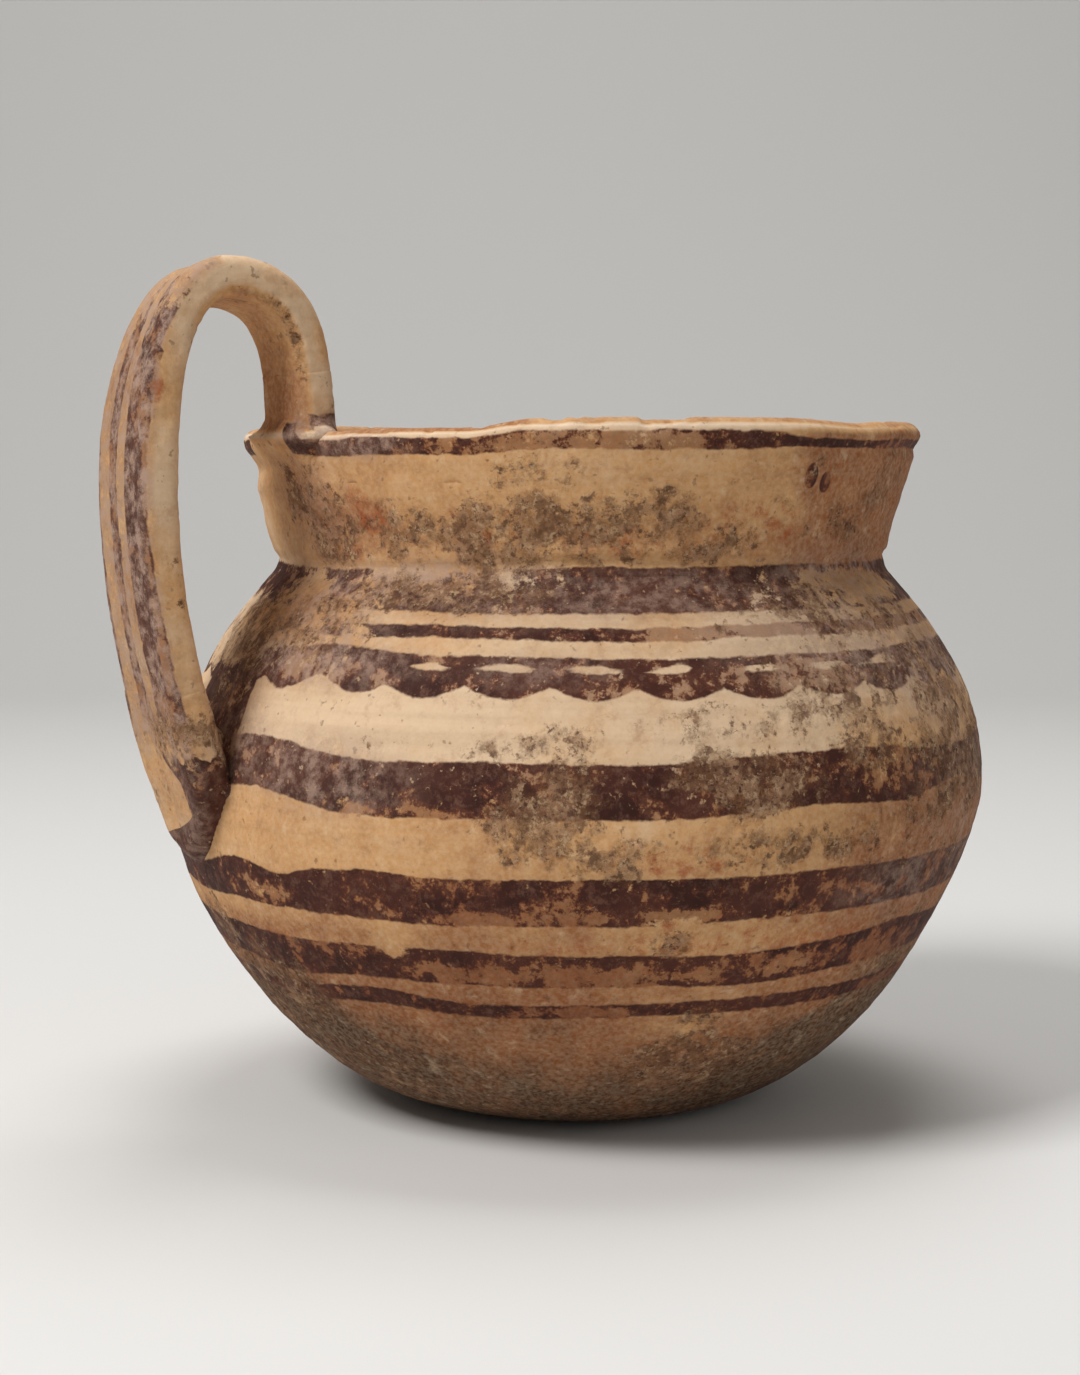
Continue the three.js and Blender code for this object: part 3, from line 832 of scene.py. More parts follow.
strap_curves = [
    [
        (rim_middle - STRAP_END_SINK, RIM_HEIGHT - ROOT_UNDER_RIM),
        (rim_middle + 0.22 * STRAP_END_SINK, RIM_HEIGHT + 0.06 * STRAP_RISE),
        (top_radius - 1.43 * top_inward, strap_top),
        (top_radius, strap_top),
    ],
    [
        (top_radius, strap_top),
        (top_radius + 0.56 * over, strap_top),
        (strap_reach, mix(strap_top, reach_height, 0.43)),
        (strap_reach, reach_height),
    ],
    [
        (strap_reach, reach_height),
        (strap_reach, reach_height - 0.31 * fall),
        (mix(strap_reach, foot_radius, 0.4), foot_height + 0.29 * fall),
        (foot_radius, foot_height),
    ],
]
strap_line = np.concatenate([bezier(c, share)[:-1] for c in strap_curves])
strap_line_length = np.r_[0, np.cumsum(np.linalg.norm(np.diff(strap_line, axis=0), axis=1))]
strap_length = strap_line_length[-1]
print("the strap's middle line is", round(strap_length, 1), "mm long")

# %% [markdown]
# Pulling leaves a flat strap with rounded edges. It widens as it goes down and
# draws in to a tongue at the foot. Its edge rounding stays the same while the
# width changes, so the section is worked out for each row and isn't scaled.

# %% The strap's section
STRAP_EDGE_ROUND = 2.6
STRAP_GIRTH = 64.0
STRAP_WIDTHS = [(0, 16.0), (0.3, 19.0), (0.5, 24.6), (1, 28.0)]
STRAP_TIP_WIDTH, STRAP_TONGUE = 4.2, 25.0
TONGUE_FULLER, FULLER_FROM_TIP, FULLER_HALF = 3.8, 13, 7
section_turn = np.linspace(0, 1, int(STRAP_GIRTH / GRID_MM / 4) * 4, endpoint=False)


def strap_section(width, thickness, turn):
    """Point, outward normal and girth at a share of the way round the section.

    The section is a rectangle with rounded corners. Going round it starts in
    the middle of the far edge, crosses the outer face to the near edge, and
    comes back over the inner face. Girth is the distance round it from the
    middle of the outer face, negative towards the near edge.
    """
    corner = STRAP_EDGE_ROUND
    flat_w, flat_t = width / 2 - corner, thickness / 2 - corner
    arc = corner * math.pi / 2
    around = 4 * flat_w + 4 * flat_t + 4 * arc
    d = turn * around
    quarter = around / 4
    mirrored = d % (2 * quarter)
    first = np.minimum(mirrored, 2 * quarter - mirrored)
    on_edge = np.minimum(first, flat_t)
    on_arc = np.clip(first - flat_t, 0, arc) / corner
    on_flat = np.clip(first - flat_t - arc, 0, None)
    across = flat_w + corner * np.cos(on_arc) - on_flat
    outward = on_edge + corner * np.sin(on_arc)
    side = np.where((d > quarter) & (d < 3 * quarter), -1, 1)
    up = np.where(d > 2 * quarter, -1, 1)
    girth = np.where(d > 3.5 * quarter, quarter - d + around, quarter - d)
    point = across * side, outward * up
    return point, (np.cos(on_arc) * side, np.sin(on_arc) * up), girth, quarter


def strap_width(length):
    """Width of the strap: narrow at the rim, wide below, a tongue at the foot.

    It goes straight from one named width to the next, fades down to the tip's
    width over the tongue, and has a bump just above the tip.
    """
    wide = np.interp(length / strap_length, *np.transpose(STRAP_WIDTHS))
    from_tip = strap_length - length
    tongue = mix(STRAP_TIP_WIDTH, wide, smooth_step(0, STRAP_TONGUE, from_tip))
    return tongue + TONGUE_FULLER * bump(from_tip, FULLER_FROM_TIP, FULLER_HALF)


print("the strap is", np.round(strap_width(strap_length * np.array([0, 0.3, 0.5, 0.8])), 1), "wide")


# %% [markdown]
# The strap rolls a little over the top and slants sideways, as a hand leaves
# it. Both are turns and shifts of each row, made before the rows are joined.

# %% The strap in space
STRAP_ROLL = 5.0
STRAP_SKEW = 3.5
TIP_SHIFTS = [(2.6, 27, 2), (2.4, 8, 2)]
CORNER_PAST_EDGE = 3.3


def strap_frame(length):
    """Middle point, outward direction and roll of the strap at arc lengths.

    The roll is half a sine wave over the first half of the strap.
    """
    middle = np.stack(
        [np.interp(length, strap_line_length, strap_line[:, k]) for k in (0, 1)], axis=-1
    )
    out = -normals_of(strap_line)
    out = np.stack([np.interp(length, strap_line_length, out[:, k]) for k in (0, 1)], axis=-1)
    out /= np.linalg.norm(out, axis=-1, keepdims=True)
    roll = np.radians(STRAP_ROLL) * np.sin(np.pi * np.clip(2 * length / strap_length, 0, 1))
    return middle, out, roll


def strap_surface(length, grow):
    """Grid of strap points in mm, their normals and what is known there.

    `length` gives the rows. A grid point is the middle line's point, plus the
    section's point turned by the roll, plus `grow` along the normal there.
    """
    middle, out, roll = strap_frame(length)
    width = strap_width(length)[:, None]
    point, normal, girth, quarter = strap_section(width, STRAP_THICKNESS, section_turn)
    cos, sin = np.cos(-roll)[:, None], np.sin(-roll)[:, None]

    def in_space(a, o):
        a, o = a * cos - o * sin, a * sin + o * cos
        return np.stack([-out[:, :1] * o, a, out[:, 1:] * o], axis=-1)

    skew = mix(-STRAP_SKEW, STRAP_SKEW, length / strap_length)
    for shift, start, end in TIP_SHIFTS:
        skew = skew + shift * smooth_step(start, end, strap_length - length)
    centre = np.stack([-middle[:, 0], skew, middle[:, 1]], axis=-1)[:, None, :]
    normal_3d = in_space(*normal)
    made = centre + in_space(*point) + normal_3d * np.asarray(grow)[..., None]
    known = {
        "across": point[0] + 0 * length[:, None],
        "outward": point[1] + 0 * length[:, None],
        "girth": girth,
        "near_inner_corner": -(quarter + CORNER_PAST_EDGE) + 0 * girth,
        "length": length[:, None] + 0 * girth,
    }
    return made, normal_3d, known


# %% [markdown]
# ## How the strap's ends melt into the pot
#
# The potter smeared the strap's ends and some extra clay onto the wall, so
# the strap flares where it meets the pot. A boolean with a bevel could join
# the two, but then they would be one piece. Here, how far a strap point stands
# from the pot's skin sets how far it flares: a quarter circle of clay fills
# the corner between the two. The corner inside the loop got the most clay.

# %% Distance from the pot, and the flare
SKIN_STRIDE = 4
POINTS_AT_ONCE = 4000


def height_over_pot(points):
    """Distance in mm from the pot's skin, negative inside the clay.

    Each point is turned into radius and height, the nearest point of the skin's
    line is found, and the way to it is measured along that point's normal.
    """
    z = points[..., 2]
    azimuth = np.degrees(np.arctan2(points[..., 1], points[..., 0]))
    x = points[..., 0] - LEAN * smooth_step(LEAN_FROM, LEAN_TO, z)
    lift = rim_drop(azimuth) * share_to_rim(z, 1.2)
    flat = np.stack([np.hypot(x, points[..., 1]), z + lift], axis=-1)
    line, normal = skin[::SKIN_STRIDE], skin_normal[::SKIN_STRIDE]
    shape = flat.shape[:-1]
    flat = flat.reshape(-1, 2)
    parts = np.array_split(flat, max(len(flat) // POINTS_AT_ONCE, 1))
    nearest = [((part[:, None] - line[None]) ** 2).sum(-1).argmin(1) for part in parts]
    nearest = np.concatenate(nearest)
    return ((flat - line[nearest]) * normal[nearest]).sum(-1).reshape(shape)


def fillet(height, radius):
    """Flare of a quarter circle of clay in the corner between strap and pot.

    At a height h over the pot it is R - sqrt(R^2 - (R - h)^2): R at the pot and
    nothing from the height R on.
    """
    h = np.clip(height, 0, radius)
    return radius - np.sqrt(np.maximum(radius**2 - (radius - h) ** 2, 0))


# %% [markdown]
# Wet hands leave other marks on a strap than on a wall: lengthwise wiping and
# two shallow flutes where fingers ran down the outer face. Bits broke off the
# near edge inside the loop.

# %% The strap's uneven surface
def strap_handwork(points, known):
    """Uneven surface of the strap, in mm.

    It adds up swells, lengthwise wiping, grain and pits, and takes off two
    shallow flutes down the outer face and chips along the near inner corner.
    """
    girth, share_down = known["girth"], known["length"] / strap_length
    swell = 0.22 * rough_noise(points, (16, 12, 26), seed=201, octaves=2)
    grain = 0.05 * rough_noise(points, 1.7, seed=31, octaves=2)
    wiped = 0.07 * rough_noise(points, (3, 2.2, 40), seed=211, octaves=2)
    pits = -0.3 * smooth_step(0.6, 0.9, lattice_noise(points, 2.4, seed=41))
    flutes = -0.28 * bump(girth, 2.7, 3.4) - 0.2 * bump(girth, -7.5, 3.6)
    flutes *= smooth_step(0.28, 0.42, share_down)
    corner = bump(girth, known["near_inner_corner"], 2.4)
    along = bump(share_down, 0.2, 0.13) + 0.35
    broken = smooth_step(0.05, 0.6, rough_noise(points, 2.6, seed=261, octaves=2))
    chipped = -0.7 * corner * along * broken
    return swell + grain + wiped + pits + flutes + chipped


# %% [markdown]
# ## Paint on the handle
#
# Three stripes run down the outer face. Beside the widest, along the near
# corner, runs a rusty wedge of thin paint. The foot is dark on its near side,
# and the lip's band curls up onto the root. Like the bands of the wall, they
# are distances to an edge. They are measured round the strap as girth, so they
# stay on it as it bends.

# %% Stripes, foot and root
STRIPES = [(-7.6, 3.8), (2.4, 2.1), (11.2, 1.4)]
WEDGE_EDGE = -11.3
DARK_FOOT = [(57, 15), (61, 0), (64.5, -7), (71, -5.5), (75, -1.2), (78, 1.0)]
DARK_FOOT_TOP = 77.5
CURL_AZIMUTH = 186.6
BARE = -3.0
LIMB_CHANGE = 0.3


def wedge_width_at(z):
    """Width of the rusty wedge in mm: 0.9 from a height of 125 up, 2.7 from 88 down."""
    return mix(0.9, 2.7, smooth_step(125, 88, z))


def strap_edges(known, points, g, rough):
    """Distance in mm inside the stripes, the wedge, the dark foot and the root.

    A stripe's is its half width less the way to its middle. The foot's and the
    root's are the way to the nearest of their edges.
    """
    z, down = points[..., 2], known["length"] / strap_length
    outer_limb = down > LIMB_CHANGE
    starts = smooth_step(0.31, 0.36, down + 0.02 * lattice_noise(points, 8, seed=223))
    stripes = np.maximum.reduce([half - np.abs(g - middle) for middle, half in STRIPES])
    stripes = np.where(starts * smooth_step(75, 81, z) > 0.5, stripes, BARE)
    half = wedge_width_at(z) / 2
    wedge = half - np.abs(g - WEDGE_EDGE + half)
    wedge = np.where(outer_limb & (z > 83) & (z < 154), wedge, BARE)
    foot_edge = np.interp(z, *np.transpose(DARK_FOOT))
    flecked = 1.6 * rough + 1.5 * rough_noise(points, 2.0, seed=225, octaves=2)
    foot = np.minimum(foot_edge + 0.8 * rough - g, DARK_FOOT_TOP + flecked - z)
    foot = np.where(outer_limb, foot, BARE)
    azimuth = np.degrees(np.arctan2(points[..., 1], points[..., 0] - LEAN)) % 360
    curl = 1.5 - 1.2 * np.abs(azimuth - CURL_AZIMUTH)
    curl = np.minimum(curl, inside_band(z, 133, 140.7 + rough))
    root = inside_band(g, -13.6, -6.5 + 1.2 * rough)
    root = np.minimum(inside_band(z, 138.4 + rough, 142.8 + 1.4 * rough), root)
    root = np.where(outer_limb, BARE, np.maximum(curl, root))
    return stripes, wedge, foot, root, azimuth


# %% [markdown]
# The strap gets the same seven numbers as the wall, so that one material fits
# both. Hands that carried the jug rubbed the top of the strap, and soil clung
# above its foot. Blobs like the wall's could place these marks. Fades over girth
# and height follow the bent strap better.

# %% Everything on the strap
def strap_paint(known, points):
    """Paint, film, crust and tone on a grid of strap points.

    The paint is thin in the middle stripe, low on the strap and in the wedge,
    and most is lost over the top and above the foot. Film veils the outer face,
    and on the root the same pale veil is a painted highlight. Crust lies thinly
    all over, and more in the chips and above the dark foot. The clay is browner
    on the outer face and at the root, and inside the loop it is darker, partly
    as painted shade.
    """
    girth, outward = known["girth"], known["outward"]
    z, down = points[..., 2], known["length"] / strap_length
    outer_limb = down > LIMB_CHANGE
    g = girth + 0.4 * lattice_noise(points, (9, 9, 22), seed=221)
    g = g + 0.15 * rough_noise(points, 1.6, seed=222, octaves=2)
    rough = lattice_noise(points, 5, seed=224)
    stripes, wedge, foot, root, azimuth = strap_edges(known, points, g, rough)
    corner = known["near_inner_corner"]

    thin = 0.35 + 0.3 * bump(g, 2.4, 3.2) + 0.4 * smooth_step(98, 82, z)
    border = np.abs(g - WEDGE_EDGE + wedge_width_at(z)) < 0.45
    thin = np.where(wedge > np.maximum(stripes, -0.5), np.where(border, 0.4, 0.9), thin)
    thin = np.where(np.maximum(foot, root) > -0.5, 0.25, thin)
    lost = 0.95 * smooth_step(0.44, 0.33, down) + 1.1 * bump(z, 79, 8)
    lost = lost + 0.3 * bump(z, 90, 9)
    lost = np.where(outer_limb, lost, 0.25)
    face = smooth_step(1.0, 3.0, outward) * outer_limb
    # A painted highlight on the pale fillet at the root, laid with the film's veil.
    root_painted_highlight = 1.3 * bump(z, 139.0, 5) * smooth_step(-4, -8, g) * smooth_step(186, 188, azimuth)
    film_and_highlight = 0.85 * face * smooth_step(74, 80, z) + 0.35 * face + 0.15 * (foot > -0.5)
    film_and_highlight = film_and_highlight + np.where(outer_limb, 0, root_painted_highlight)
    flare = bump(z + 3 * rough, 81, 10) * smooth_step(9, -4, g) * outer_limb
    in_chips = bump(g, corner, 2.4) * bump(down, 0.2, 0.13)
    crust = 0.3 * smooth_step(0.2, 0.95, rough_noise(points, 6, seed=231))
    crust = np.clip(np.maximum.reduce([crust, 0.8 * flare, 0.7 * in_chips]), 0, 1)
    brown_and_painted_light = 0.22 + 0.2 * rough_noise(points, 12, seed=241, octaves=2) + 0.2 * face
    brown_and_painted_light = brown_and_painted_light - 0.1 * smooth_step(154, 168, z)
    # Darker on the inner face of the upper loop: partly brown clay, partly painted shade.
    brown_and_painted_light = brown_and_painted_light + 0.4 * smooth_step(-1.5, -3, outward) * smooth_step(0.42, 0.3, down)
    brown_and_painted_light = brown_and_painted_light + 0.25 * smooth_step(140, 132, z) * ~outer_limb
    red = 0.9 * bump(z, 146.5, 4.5) * bump(g, -12.6, 2.0) * outer_limb
    return {
        "paint_mm": np.maximum.reduce([stripes, wedge, foot, root]),
        "thin": np.clip(thin, 0, 1),
        "lost": np.clip(lost, 0, 1),
        "film_and_highlight": np.clip(film_and_highlight, 0, 1),
        "crust": crust,
        "brown_and_painted_light": np.clip(brown_and_painted_light, -0.3, 1),
        "red": red,
    }


# %% [markdown]
# ## The strap and its luting clay
#
# Luting is soft clay pressed round a joint. It thins out to nothing over the
# strap, and its other edge melts into the wall. The strap could simply pass
# into the wall, but the real joint is a piece of clay of its own. So each
# luting is a sleeve: an outer skin that flares, and a core inside the strap.

# %% The ends of the strap
TOP_FILLET = {"outer": 3.4, "inner": 4.2, "near": 3.4}
FOOT_FILLET = {"outer": 1.0, "inner": 11.0, "near": 0.8}
SKIN_OVER = 0.10
CORE_DEPTH = 2.6
LUTING_ON_TOP = (25.0, 2.0)
LUTING_ON_FOOT = (40.0, 1.0)


def ends_shape(length, outward):
    """How far the strap's surface stands out near its ends, in mm.

    Both tips sink into the wall, so their edges melt away, and the outer face
    swells over the tongue, where the smeared clay is thickest. So it is a bump
    on the outer face, less smooth steps towards the two tips.
    """
    length, from_tip = length[:, None], strap_length - length[:, None]
    swell = 1.1 * bump(from_tip, 8, 7) * smooth_step(0, 3, outward)
    sunk = 2.2 * smooth_step(13, 2, length) + 1.4 * smooth_step(7, 1, length)
    return swell - sunk - 2.1 * smooth_step(7.5, 0, from_tip)


def with_wall_paint(values, points, wall_share):
    """Blends in the wall's own paint where clay is smeared flush with it.

    The lean and the rim's drop are taken off a point first, which gives the
    place on the even pot that the wall's paint is worked out for.
    """
    z = points[..., 2]
    lean = LEAN * smooth_step(LEAN_FROM, LEAN_TO, z)
    even = points - np.stack([lean, 0 * z, 0 * z], axis=-1)
    azimuth = np.degrees(np.arctan2(even[..., 1], even[..., 0])) % 360
    even[..., 2] += rim_drop(azimuth) * share_to_rim(z)
    known = {"azimuth": azimuth, "z": even[..., 2], "even": even, "outer": 1 + 0 * z}
    wall = wall_paint(known)
    return {key: mix(value, wall[key], wall_share) for key, value in values.items()}


# %% [markdown]
# The strap is a tube whose tips lie hidden in the wall. A luting could be a lump
# sculpted round it and fitted by eye. Here it is made on the strap's own rows
# and section, moved outward, so it follows every bend.

# %% Making the strap and the luting
def strap_piece():
    """The strap: a closed tube of rows, with a fan of triangles at each end."""
    length = rows_between(0, strap_length, GRID_MM)
    even, normal, known = strap_surface(length, 0 * section_turn)
    even, normal, known = strap_surface(length, ends_shape(length, known["outward"]))
    points = even + normal * strap_handwork(even, known)[..., None]
    tips = np.stack([points[0].mean(0), points[-1].mean(0)])
    return capped_piece("handle_strap_skin", points, tips, strap_paint(known, even))


def luting_piece(name, start, end, radii):
    """Clay round one strap end, from its thin edge to where it melts away.

    The flare's radius changes round the strap: the outer face, the inner face
    and the near edge each have their own, and it slims down at the corner
    between the last two. The clay is thin at its edge on the strap and leaves
    out the flare under the rim, where the wall already stands. Its outer skin
    and its core are grids of the same rows, joined at both ends. Where it lies
    flush with the wall, it takes over the wall's paint.
    """
    length = rows_between(start, end, GRID_MM * 0.6)
    even, normal, known = strap_surface(length, 0 * section_turn)
    height = height_over_pot(even)
    inner = smooth_step(-1.2, -3.4, known["outward"])
    near = smooth_step(0, -6, known["across"]) * (1 - inner)
    radius = radii["outer"] + (radii["inner"] - radii["outer"]) * inner
    radius = radius + (radii["near"] - radii["outer"]) * near
    slim = mix(0.95, 0.5, smooth_step(76, 84, even[..., 2]))
    radius = radius * (1 - slim * inner * smooth_step(-4, -9, known["across"]))
    edge = np.abs(length - start)[:, None]
    thick = SKIN_OVER + 0.25 * smooth_step(0, 8, edge) - 0.5 * smooth_step(0.8, 0, edge)
    flare = np.where(height < radius, fillet(height, radius), 0)
    flare = flare * (1 + 0.25 * rough_noise(even, 5, seed=251, octaves=2))
    at_root = length[:, None] < strap_length / 2
    grow = flare * (1 - at_root * smooth_step(139, 132, even[..., 2])) + thick
    grow = grow + ends_shape(length, known["outward"])
    even, normal, known = strap_surface(length, grow)
    outer = even + normal * strap_handwork(even, known)[..., None]
    core, _, _ = strap_surface(length, -CORE_DEPTH + 0 * grow)
    below_rim = smooth_step(139.5, 137.5, outer[..., 2]) * at_root
    points = np.concatenate([outer, core[::-1]])
    flush = smooth_step(1.3, 0.4, height_over_pot(outer)) * smooth_step(80, 84, even[..., 2])
    values = with_wall_paint(strap_paint(known, even), outer, np.maximum(flush, below_rim))
    values = {k: np.concatenate([v, v[::-1]]) for k, v in values.items()}
    faces = grid_faces(len(points), len(section_turn), close_rows=True)
    if end < start:
        faces = [face[::-1] for face in faces]
    return new_piece(name, points, faces, values)


pieces["handle_strap"] = strap_piece()
pieces["handle_top_luting"] = luting_piece("handle_top_luting_skin", *LUTING_ON_TOP, TOP_FILLET)
foot_start, foot_end = (strap_length - from_tip for from_tip in LUTING_ON_FOOT)
pieces["handle_foot_luting"] = luting_piece(
    "handle_foot_luting_skin", foot_start, foot_end, FOOT_FILLET
)
for name, piece in pieces.items():
    low, high = box_mm(name)
    made = np.array([corner[:] for corner in piece.bound_box]) / MM
    past = np.maximum(low - made.min(0), made.max(0) - high).max()
    print(name, "skin:", len(piece.data.polygons), "faces,", round(past, 2), "mm past its box")


# %% [markdown]
# ## The clay and its paint
#
# The jug was fired once, so clay, paint, film and crust share one dry, matt
# surface. They could be several materials, but they fade into each other all
# over the pot. So one material serves every piece, and each layer is a node
# group that gives a colour, a mask or a height. First come a few helpers that
# add nodes and link them.

# %% Node helpers
def add(tree, kind, inputs=None, **settings):
    """Adds a node. Inputs may be plain values or sockets of other nodes."""
    node = tree.nodes.new(kind)
    for key, value in settings.items():
        setattr(node, key, value)
    for key, value in (inputs or {}).items():
        if isinstance(value, bpy.types.NodeSocket):
            tree.links.new(value, node.inputs[key])
        else:
            node.inputs[key].default_value = value
    return node


def noise(tree, place, scale, detail=4.0, rough=0.55):
    """Noise between 0 and 1.

    `scale` is features to the metre, `detail` is how many finer layers are
    added, and `rough` is how strong each of them is beside the last.
    """
    inputs = {"Vector": place, "Scale": scale, "Detail": detail, "Roughness": rough}
    return add(tree, "ShaderNodeTexNoise", inputs).outputs["Fac"]


def math_node(tree, operation, a, b=0.0, c=0.0):
    """One step of arithmetic on sockets or plain values."""
    return add(tree, "ShaderNodeMath", {0: a, 1: b, 2: c}, operation=operation).outputs[0]


def ramp(tree, value, low, high, to_low=0.0, to_high=1.0):
    """Maps a value from one range to another with soft ends."""
    limits = {"From Min": low, "From Max": high, "To Min": to_low, "To Max": to_high}
    node = add(tree, "ShaderNodeMapRange", {"Value": value, **limits})
    node.interpolation_type = "SMOOTHSTEP"
    return node.outputs["Result"]


def blend(tree, factor, a, b):
    """Mixes colour b over colour a. A mix node's sockets 6, 7 and 2 are for colour."""
    return add(tree, "ShaderNodeMix", {0: factor, 6: a, 7: b}, data_type="RGBA").outputs[2]


FLOAT, COLOUR, VECTOR = "NodeSocketFloat", "NodeSocketColor", "NodeSocketVector"


def new_group(name, inputs, outputs):
    """A node group: the group, its input sockets by name and its end node."""
    group = bpy.data.node_groups.new(name, "ShaderNodeTree")
    for label in inputs:
        kind = VECTOR if label == "Place" else FLOAT
        group.interface.new_socket(label, in_out="INPUT", socket_type=kind)
    for label in outputs:
        kind = COLOUR if label == "Colour" else FLOAT
        group.interface.new_socket(label, in_out="OUTPUT", socket_type=kind)
    source = group.nodes.new("NodeGroupInput")
    return group, source.outputs, group.nodes.new("NodeGroupOutput").inputs


def srgb(r, g, b):
    """A colour named by its 0 to 255 screen values, as linear light."""

    def linear(v):
        v /= 255
        return v / 12.92 if v <= 0.04045 else ((v + 0.055) / 1.055) ** 2.4

    return (linear(r), linear(g), linear(b), 1.0)


def tinted(tree, colour, tints):
    """Lays tints over a colour, one after the other.

    Each tint has the value that drives it, the value's range from none to all
    of it, its strength and its screen colour.
    """
    for value, low, high, strength, tint in tints:
        colour = blend(tree, ramp(tree, value, low, high, 0, strength), colour, srgb(*tint))
    return colour


# %% [markdown]
# The clay is a cream slip over a body that fired browner, so one ramp of four
# tones runs from pale cream to dark brown. Its palest end also makes the painted
# highlights and its darkest end the painted shade that the Brown value carries.
# Clouds, patches, specks, grit, sand and wiping streaks break it up. Iron left
# rust-red spots.

# %% Clay
clay, given, ends = new_group("slipped_clay_and_painted_light", ["Place", "Brown", "Red"], ["Colour", "Height"])
place = given["Place"]
clouds = noise(clay, place, 26, 5, 0.6)
patches = noise(clay, place, 85, 6, 0.68)
mottle = noise(clay, place, 270, 6, 0.7)
sand = noise(clay, place, 1000, 3, 0.6)
grit = noise(clay, place, 520, 2, 0.5)
stretched = add(clay, "ShaderNodeMapping", {"Vector": place, "Scale": (16, 16, 380)})
streaks = noise(clay, stretched.outputs[0], 1.0, 3, 0.55)
shift = math_node(clay, "MULTIPLY_ADD", clouds, 0.9, -0.45)
shift = math_node(clay, "MULTIPLY_ADD", patches, 1.0, math_node(clay, "ADD", shift, -0.5))
uneven = ramp(clay, given["Brown"], 0, 1, 0.6, 1.4)
shade = math_node(clay, "MULTIPLY_ADD", shift, uneven, given["Brown"])
# The palest colours, below a shade of 0, give the lip's top its painted highlight; the darkest, from
# 0.95 up, give the painted shade low on the pot and under the handle.
SLIP_TONES = [
    (shade, -0.6, -0.1, 1, (222, 191, 157)),
    (shade, 0, 0.42, 1, (206, 156, 104)),
    (shade, 0.36, 1, 1, (150, 92, 54)),
    (shade, 0.95, 1.7, 1, (72, 43, 27)),
]
colour = tinted(clay, srgb(238, 214, 190), SLIP_TONES)
specks = math_node(clay, "MULTIPLY", ramp(clay, mottle, 0.5, 0.7, 0, 0.45), uneven)
colour = blend(clay, specks, colour, srgb(146, 94, 60))
FLAWS = [
    (mottle, 0.46, 0.28, 0.35, (232, 206, 170)),
    (streaks, 0.35, 0.75, 0.18, (134, 98, 66)),
    (grit, 0.665, 0.72, 0.5, (88, 60, 44)),
    (sand, 0.3, 0.7, 0.18, (240, 214, 180)),
]
colour = tinted(clay, colour, FLAWS)
speckled = math_node(clay, "MULTIPLY_ADD", given["Red"], 0.32, mottle)
reddened = ramp(clay, speckled, 0.58, 0.84, 0, 0.75)
reddened = math_node(clay, "MULTIPLY", reddened, ramp(clay, given["Red"], 0, 0.3))
colour = blend(clay, reddened, colour, srgb(164, 84, 46))
clay.links.new(colour, ends["Colour"])
height = math_node(clay, "MULTIPLY_ADD", sand, 0.5, math_node(clay, "MULTIPLY", streaks, 0.6))
clay.links.new(height, ends["Height"])
print(len(clay.nodes), "nodes make the clay")

# %% [markdown]
# The paint is matt and purple-brown. It could be a hard-edged second colour, but
# real matt paint wears in steps: a dark coat, then a rusty stain, then bare
# clay. So its thickness is one smooth field, and a worn patch fades out.

# %% Paint
paint, given, ends = new_group(
    "matt_paint", ["Place", "Inside mm", "Thin", "Lost"], ["Mask", "Colour"]
)
place = given["Place"]
ragged = noise(paint, place, 420, 5, 0.65)
inside = math_node(paint, "MULTIPLY_ADD", ragged, 1.1, given["Inside mm"])
covered = ramp(paint, inside, 0.32, 0.84)
moved = add(paint, "ShaderNodeMapping", {"Vector": place, "Location": (3.1, 1.7, 5.3)}).outputs[0]
areas = noise(paint, place, 165, 9, 0.7)
holes = noise(paint, moved, 200, 9, 0.72)
limit = math_node(paint, "MULTIPLY_ADD", given["Thin"], 0.27, 0.31)
fine = noise(paint, moved, 520, 6, 0.7)
fine = math_node(paint, "MULTIPLY_ADD", fine, 0.4, -0.2)
coat = math_node(paint, "ADD", math_node(paint, "SUBTRACT", areas, limit), fine)
coat = ramp(paint, coat, -0.06, 0.14)
worn = math_node(paint, "MULTIPLY_ADD", given["Lost"], -0.30, 0.73)
worn = math_node(paint, "SUBTRACT", math_node(paint, "SUBTRACT", holes, fine), worn)
kept = ramp(paint, worn, 0.06, -0.05)
specks = ramp(paint, noise(paint, moved, 600, 4, 0.62), 0.63, 0.70, 0, 0.6)
stain_strength = ramp(paint, coat, 0, 0.5, 0.62, 1.0)
mask = math_node(paint, "MULTIPLY", math_node(paint, "MULTIPLY", covered, kept), stain_strength)
mask = math_node(paint, "MULTIPLY", mask, math_node(paint, "SUBTRACT", 1.0, specks))
paint.links.new(mask, ends["Mask"])
tone = noise(paint, moved, 60, 4, 0.6)
dusty = noise(paint, place, 460, 7, 0.8)
DARK_TONES = [(tone, 0.35, 0.68, 1, (82, 45, 35)), (dusty, 0.48, 0.64, 0.5, (124, 88, 72))]
STAIN_TONES = [(dusty, 0.35, 0.65, 1, (106, 62, 42)), (coat, 0.1, 0.6, 1, (92, 52, 38))]
dark = tinted(paint, srgb(56, 29, 23), DARK_TONES)
middle = tinted(paint, srgb(142, 84, 52), STAIN_TONES)
paint.links.new(blend(paint, ramp(paint, coat, 0.45, 1), middle, dark), ends["Colour"])
print(len(paint.nodes), "nodes make the paint")

# %% [markdown]
# Lime in the soil left a thin lilac-grey film. It hides nothing, so it is a
# weak veil of fine threads over the paint and the clay.

